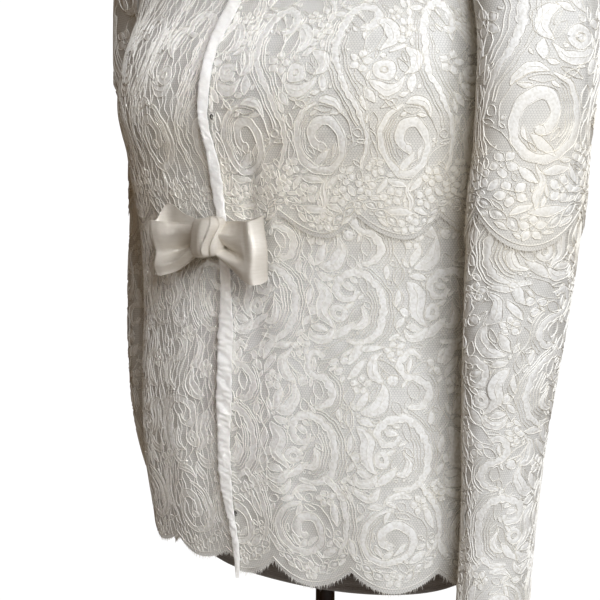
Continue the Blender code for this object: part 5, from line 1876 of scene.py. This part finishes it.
HOOK_LOOP = (0.0011, 0.0016)  # half width and half height of a hook's bend
HOOK_TURN = (1.6 * math.pi, 18)  # how far round the bend goes, and its points
HOOK_WIRE = 0.00042
HOOK_OFF = 0.0009  # how far the wire's middle lies off the net
HOOK_BESIDE = 0.0002  # how far its bend's middle lies beside the binding


def hooks(cloth):
    """Small wire hooks that close the front, just beside the binding."""
    turn = np.linspace(0.0, *HOOK_TURN)
    half_width, half_height = HOOK_LOOP
    for name, height in HOOKS.items():
        across = float(BINDING.at("half_width", height)) + HOOK_BESIDE + half_width * np.cos(turn)
        points, out = cloth.at(across, height + half_height * np.sin(turn))
        piece = wire(name, points + out * (LACE_LIFT + NET_THICKNESS + HOOK_OFF), HOOK_WIRE, "hook_metal")


# Stage
PHOTO_SIDE = 600
CAMERA_TURN = 40.0  # degrees from the front towards the wearer's left
CAMERA_AWAY = 1.2985
CAMERA_ABOVE_HEM = 0.360
CAMERA_DOWN = 7.09
FOCAL_PIXELS = 1586.5
AXIS_RIGHT_OF_MIDDLE = 26.0  # pixels from the picture's middle to the part's axis
SENSOR = 36.0
LIGHT_SIDE = (0.87, -0.30, 0.39)  # the way to the brightest part of the room
LIGHT_EDGE = 0.40  # how far towards it the room starts to get lighter
DIM_ROOM = colour(0.074, 0.042, 0.014)
LIT_ROOM = colour(0.44, 0.43, 0.42)
WHITE = colour(1.05, 1.05, 1.05)  # what the camera sees behind the part
FLOOR_RADIUS = 0.72
FLOOR_DROP = 0.0002  # below the base
CHEST = (0.0, 0.0, 0.95)
# Lights: place, target, width and height, power, tint, and the spread of the beam in degrees
LIGHTS = {
    "key_light": ((1.86, -1.07, 1.95), CHEST, (1.3, 1.3), 51.5, (0.94, 0.985, 1.07), 180.0),
    "front_light": ((0.32, -1.86, 1.22), (0.000, -0.10, 0.91), (0.08, 0.70), 0.058, (0.95, 0.99, 1.05), 9.4),
    "back_light": ((-1.05, 2.20, 1.75), CHEST, (1.3, 1.3), 30.0, (1.00, 0.985, 0.96), 180.0)}


def place_camera():
    """A camera that sees the part as the photograph does."""
    data = bpy.data.cameras.new("camera")
    data.sensor_width = SENSOR
    data.lens = FOCAL_PIXELS / PHOTO_SIDE * SENSOR
    camera = bpy.data.objects.new("camera", data)
    turn = math.radians(CAMERA_TURN)
    camera.location = (CAMERA_AWAY * math.sin(turn), -CAMERA_AWAY * math.cos(turn),
                       HEM_HEIGHT + CAMERA_ABOVE_HEM)
    camera.rotation_euler = (math.pi / 2 - math.radians(CAMERA_DOWN), 0.0,
                             turn + math.atan(AXIS_RIGHT_OF_MIDDLE / FOCAL_PIXELS))
    bpy.context.scene.collection.objects.link(camera)
    bpy.context.scene.camera = camera


def area_light(name, place, target, size, power, tint, spread):
    """A soft rectangular light aimed at a target."""
    data = bpy.data.lights.new(name, "AREA")
    data.shape = "RECTANGLE"
    data.size, data.size_y = size
    data.energy = power
    data.color = tint
    data.spread = math.radians(spread)
    light = bpy.data.objects.new(name, data)
    light.location = place
    toward = np.array(target) - np.array(place)
    light.rotation_euler = (math.acos(-toward[2] / np.linalg.norm(toward)), 0.0,
                            math.atan2(toward[1], toward[0]) - math.pi / 2)
    bpy.context.scene.collection.objects.link(light)


def surroundings():
    """Surroundings that are white to the camera, and light the part from one side more than the other."""
    world = bpy.data.worlds.new("studio")
    world.use_nodes = True
    sky = Nodes(world.node_tree)
    direction = sky.node("ShaderNodeTexCoord", {}).outputs["Generated"]
    light = sky.mix(sky.along(direction, LIGHT_SIDE).ramp(LIGHT_EDGE, 1.0), DIM_ROOM, LIT_ROOM)
    seen = sky.number(sky.node("ShaderNodeLightPath", {}), "Is Camera Ray")
    sky.put(sky.tree.nodes["Background"].inputs["Color"], sky.mix(seen, light, WHITE))
    return world


def pale_floor():
    """A plain round floor."""
    finish = Finish("pale_floor", 0.9)
    finish.set("Base Color", finish.clouded(0.4, (0.63, 0.59, 0.52), (0.69, 0.65, 0.58)))
    rim = arc((0.0, 0.0), FLOOR_RADIUS, 0, 360, 0.05)[:-1]
    mesh = bpy.data.meshes.new("floor")
    mesh.from_pydata([(x, y, -FLOOR_DROP) for x, y in rim], [], [tuple(range(len(rim)))])
    mesh.materials.append(finish.material)
    floor = bpy.data.objects.new("floor", mesh)
    bpy.context.scene.collection.objects.link(floor)


def studio():
    """The surroundings, the floor and the lights."""
    bpy.context.scene.view_settings.view_transform = "Standard"
    bpy.context.scene.world = surroundings()
    pale_floor()
    for name, light in LIGHTS.items():
        area_light(name, *light)


place_camera()
studio()
BODY_CLOTHS = body_cloths()
dress_body(BODY_CLOTHS)
dress_sleeves(BODY_CLOTHS)
front_binding(BODY_CLOTHS["front_left"])
neck_binding(BODY_CLOTHS)
for loop_name in LOOPS:
    bow_loop(loop_name)
bow_knot()
hooks(BODY_CLOTHS["front_left"])
armhole_seams(BODY_CLOTHS)
dress_form()
stand()
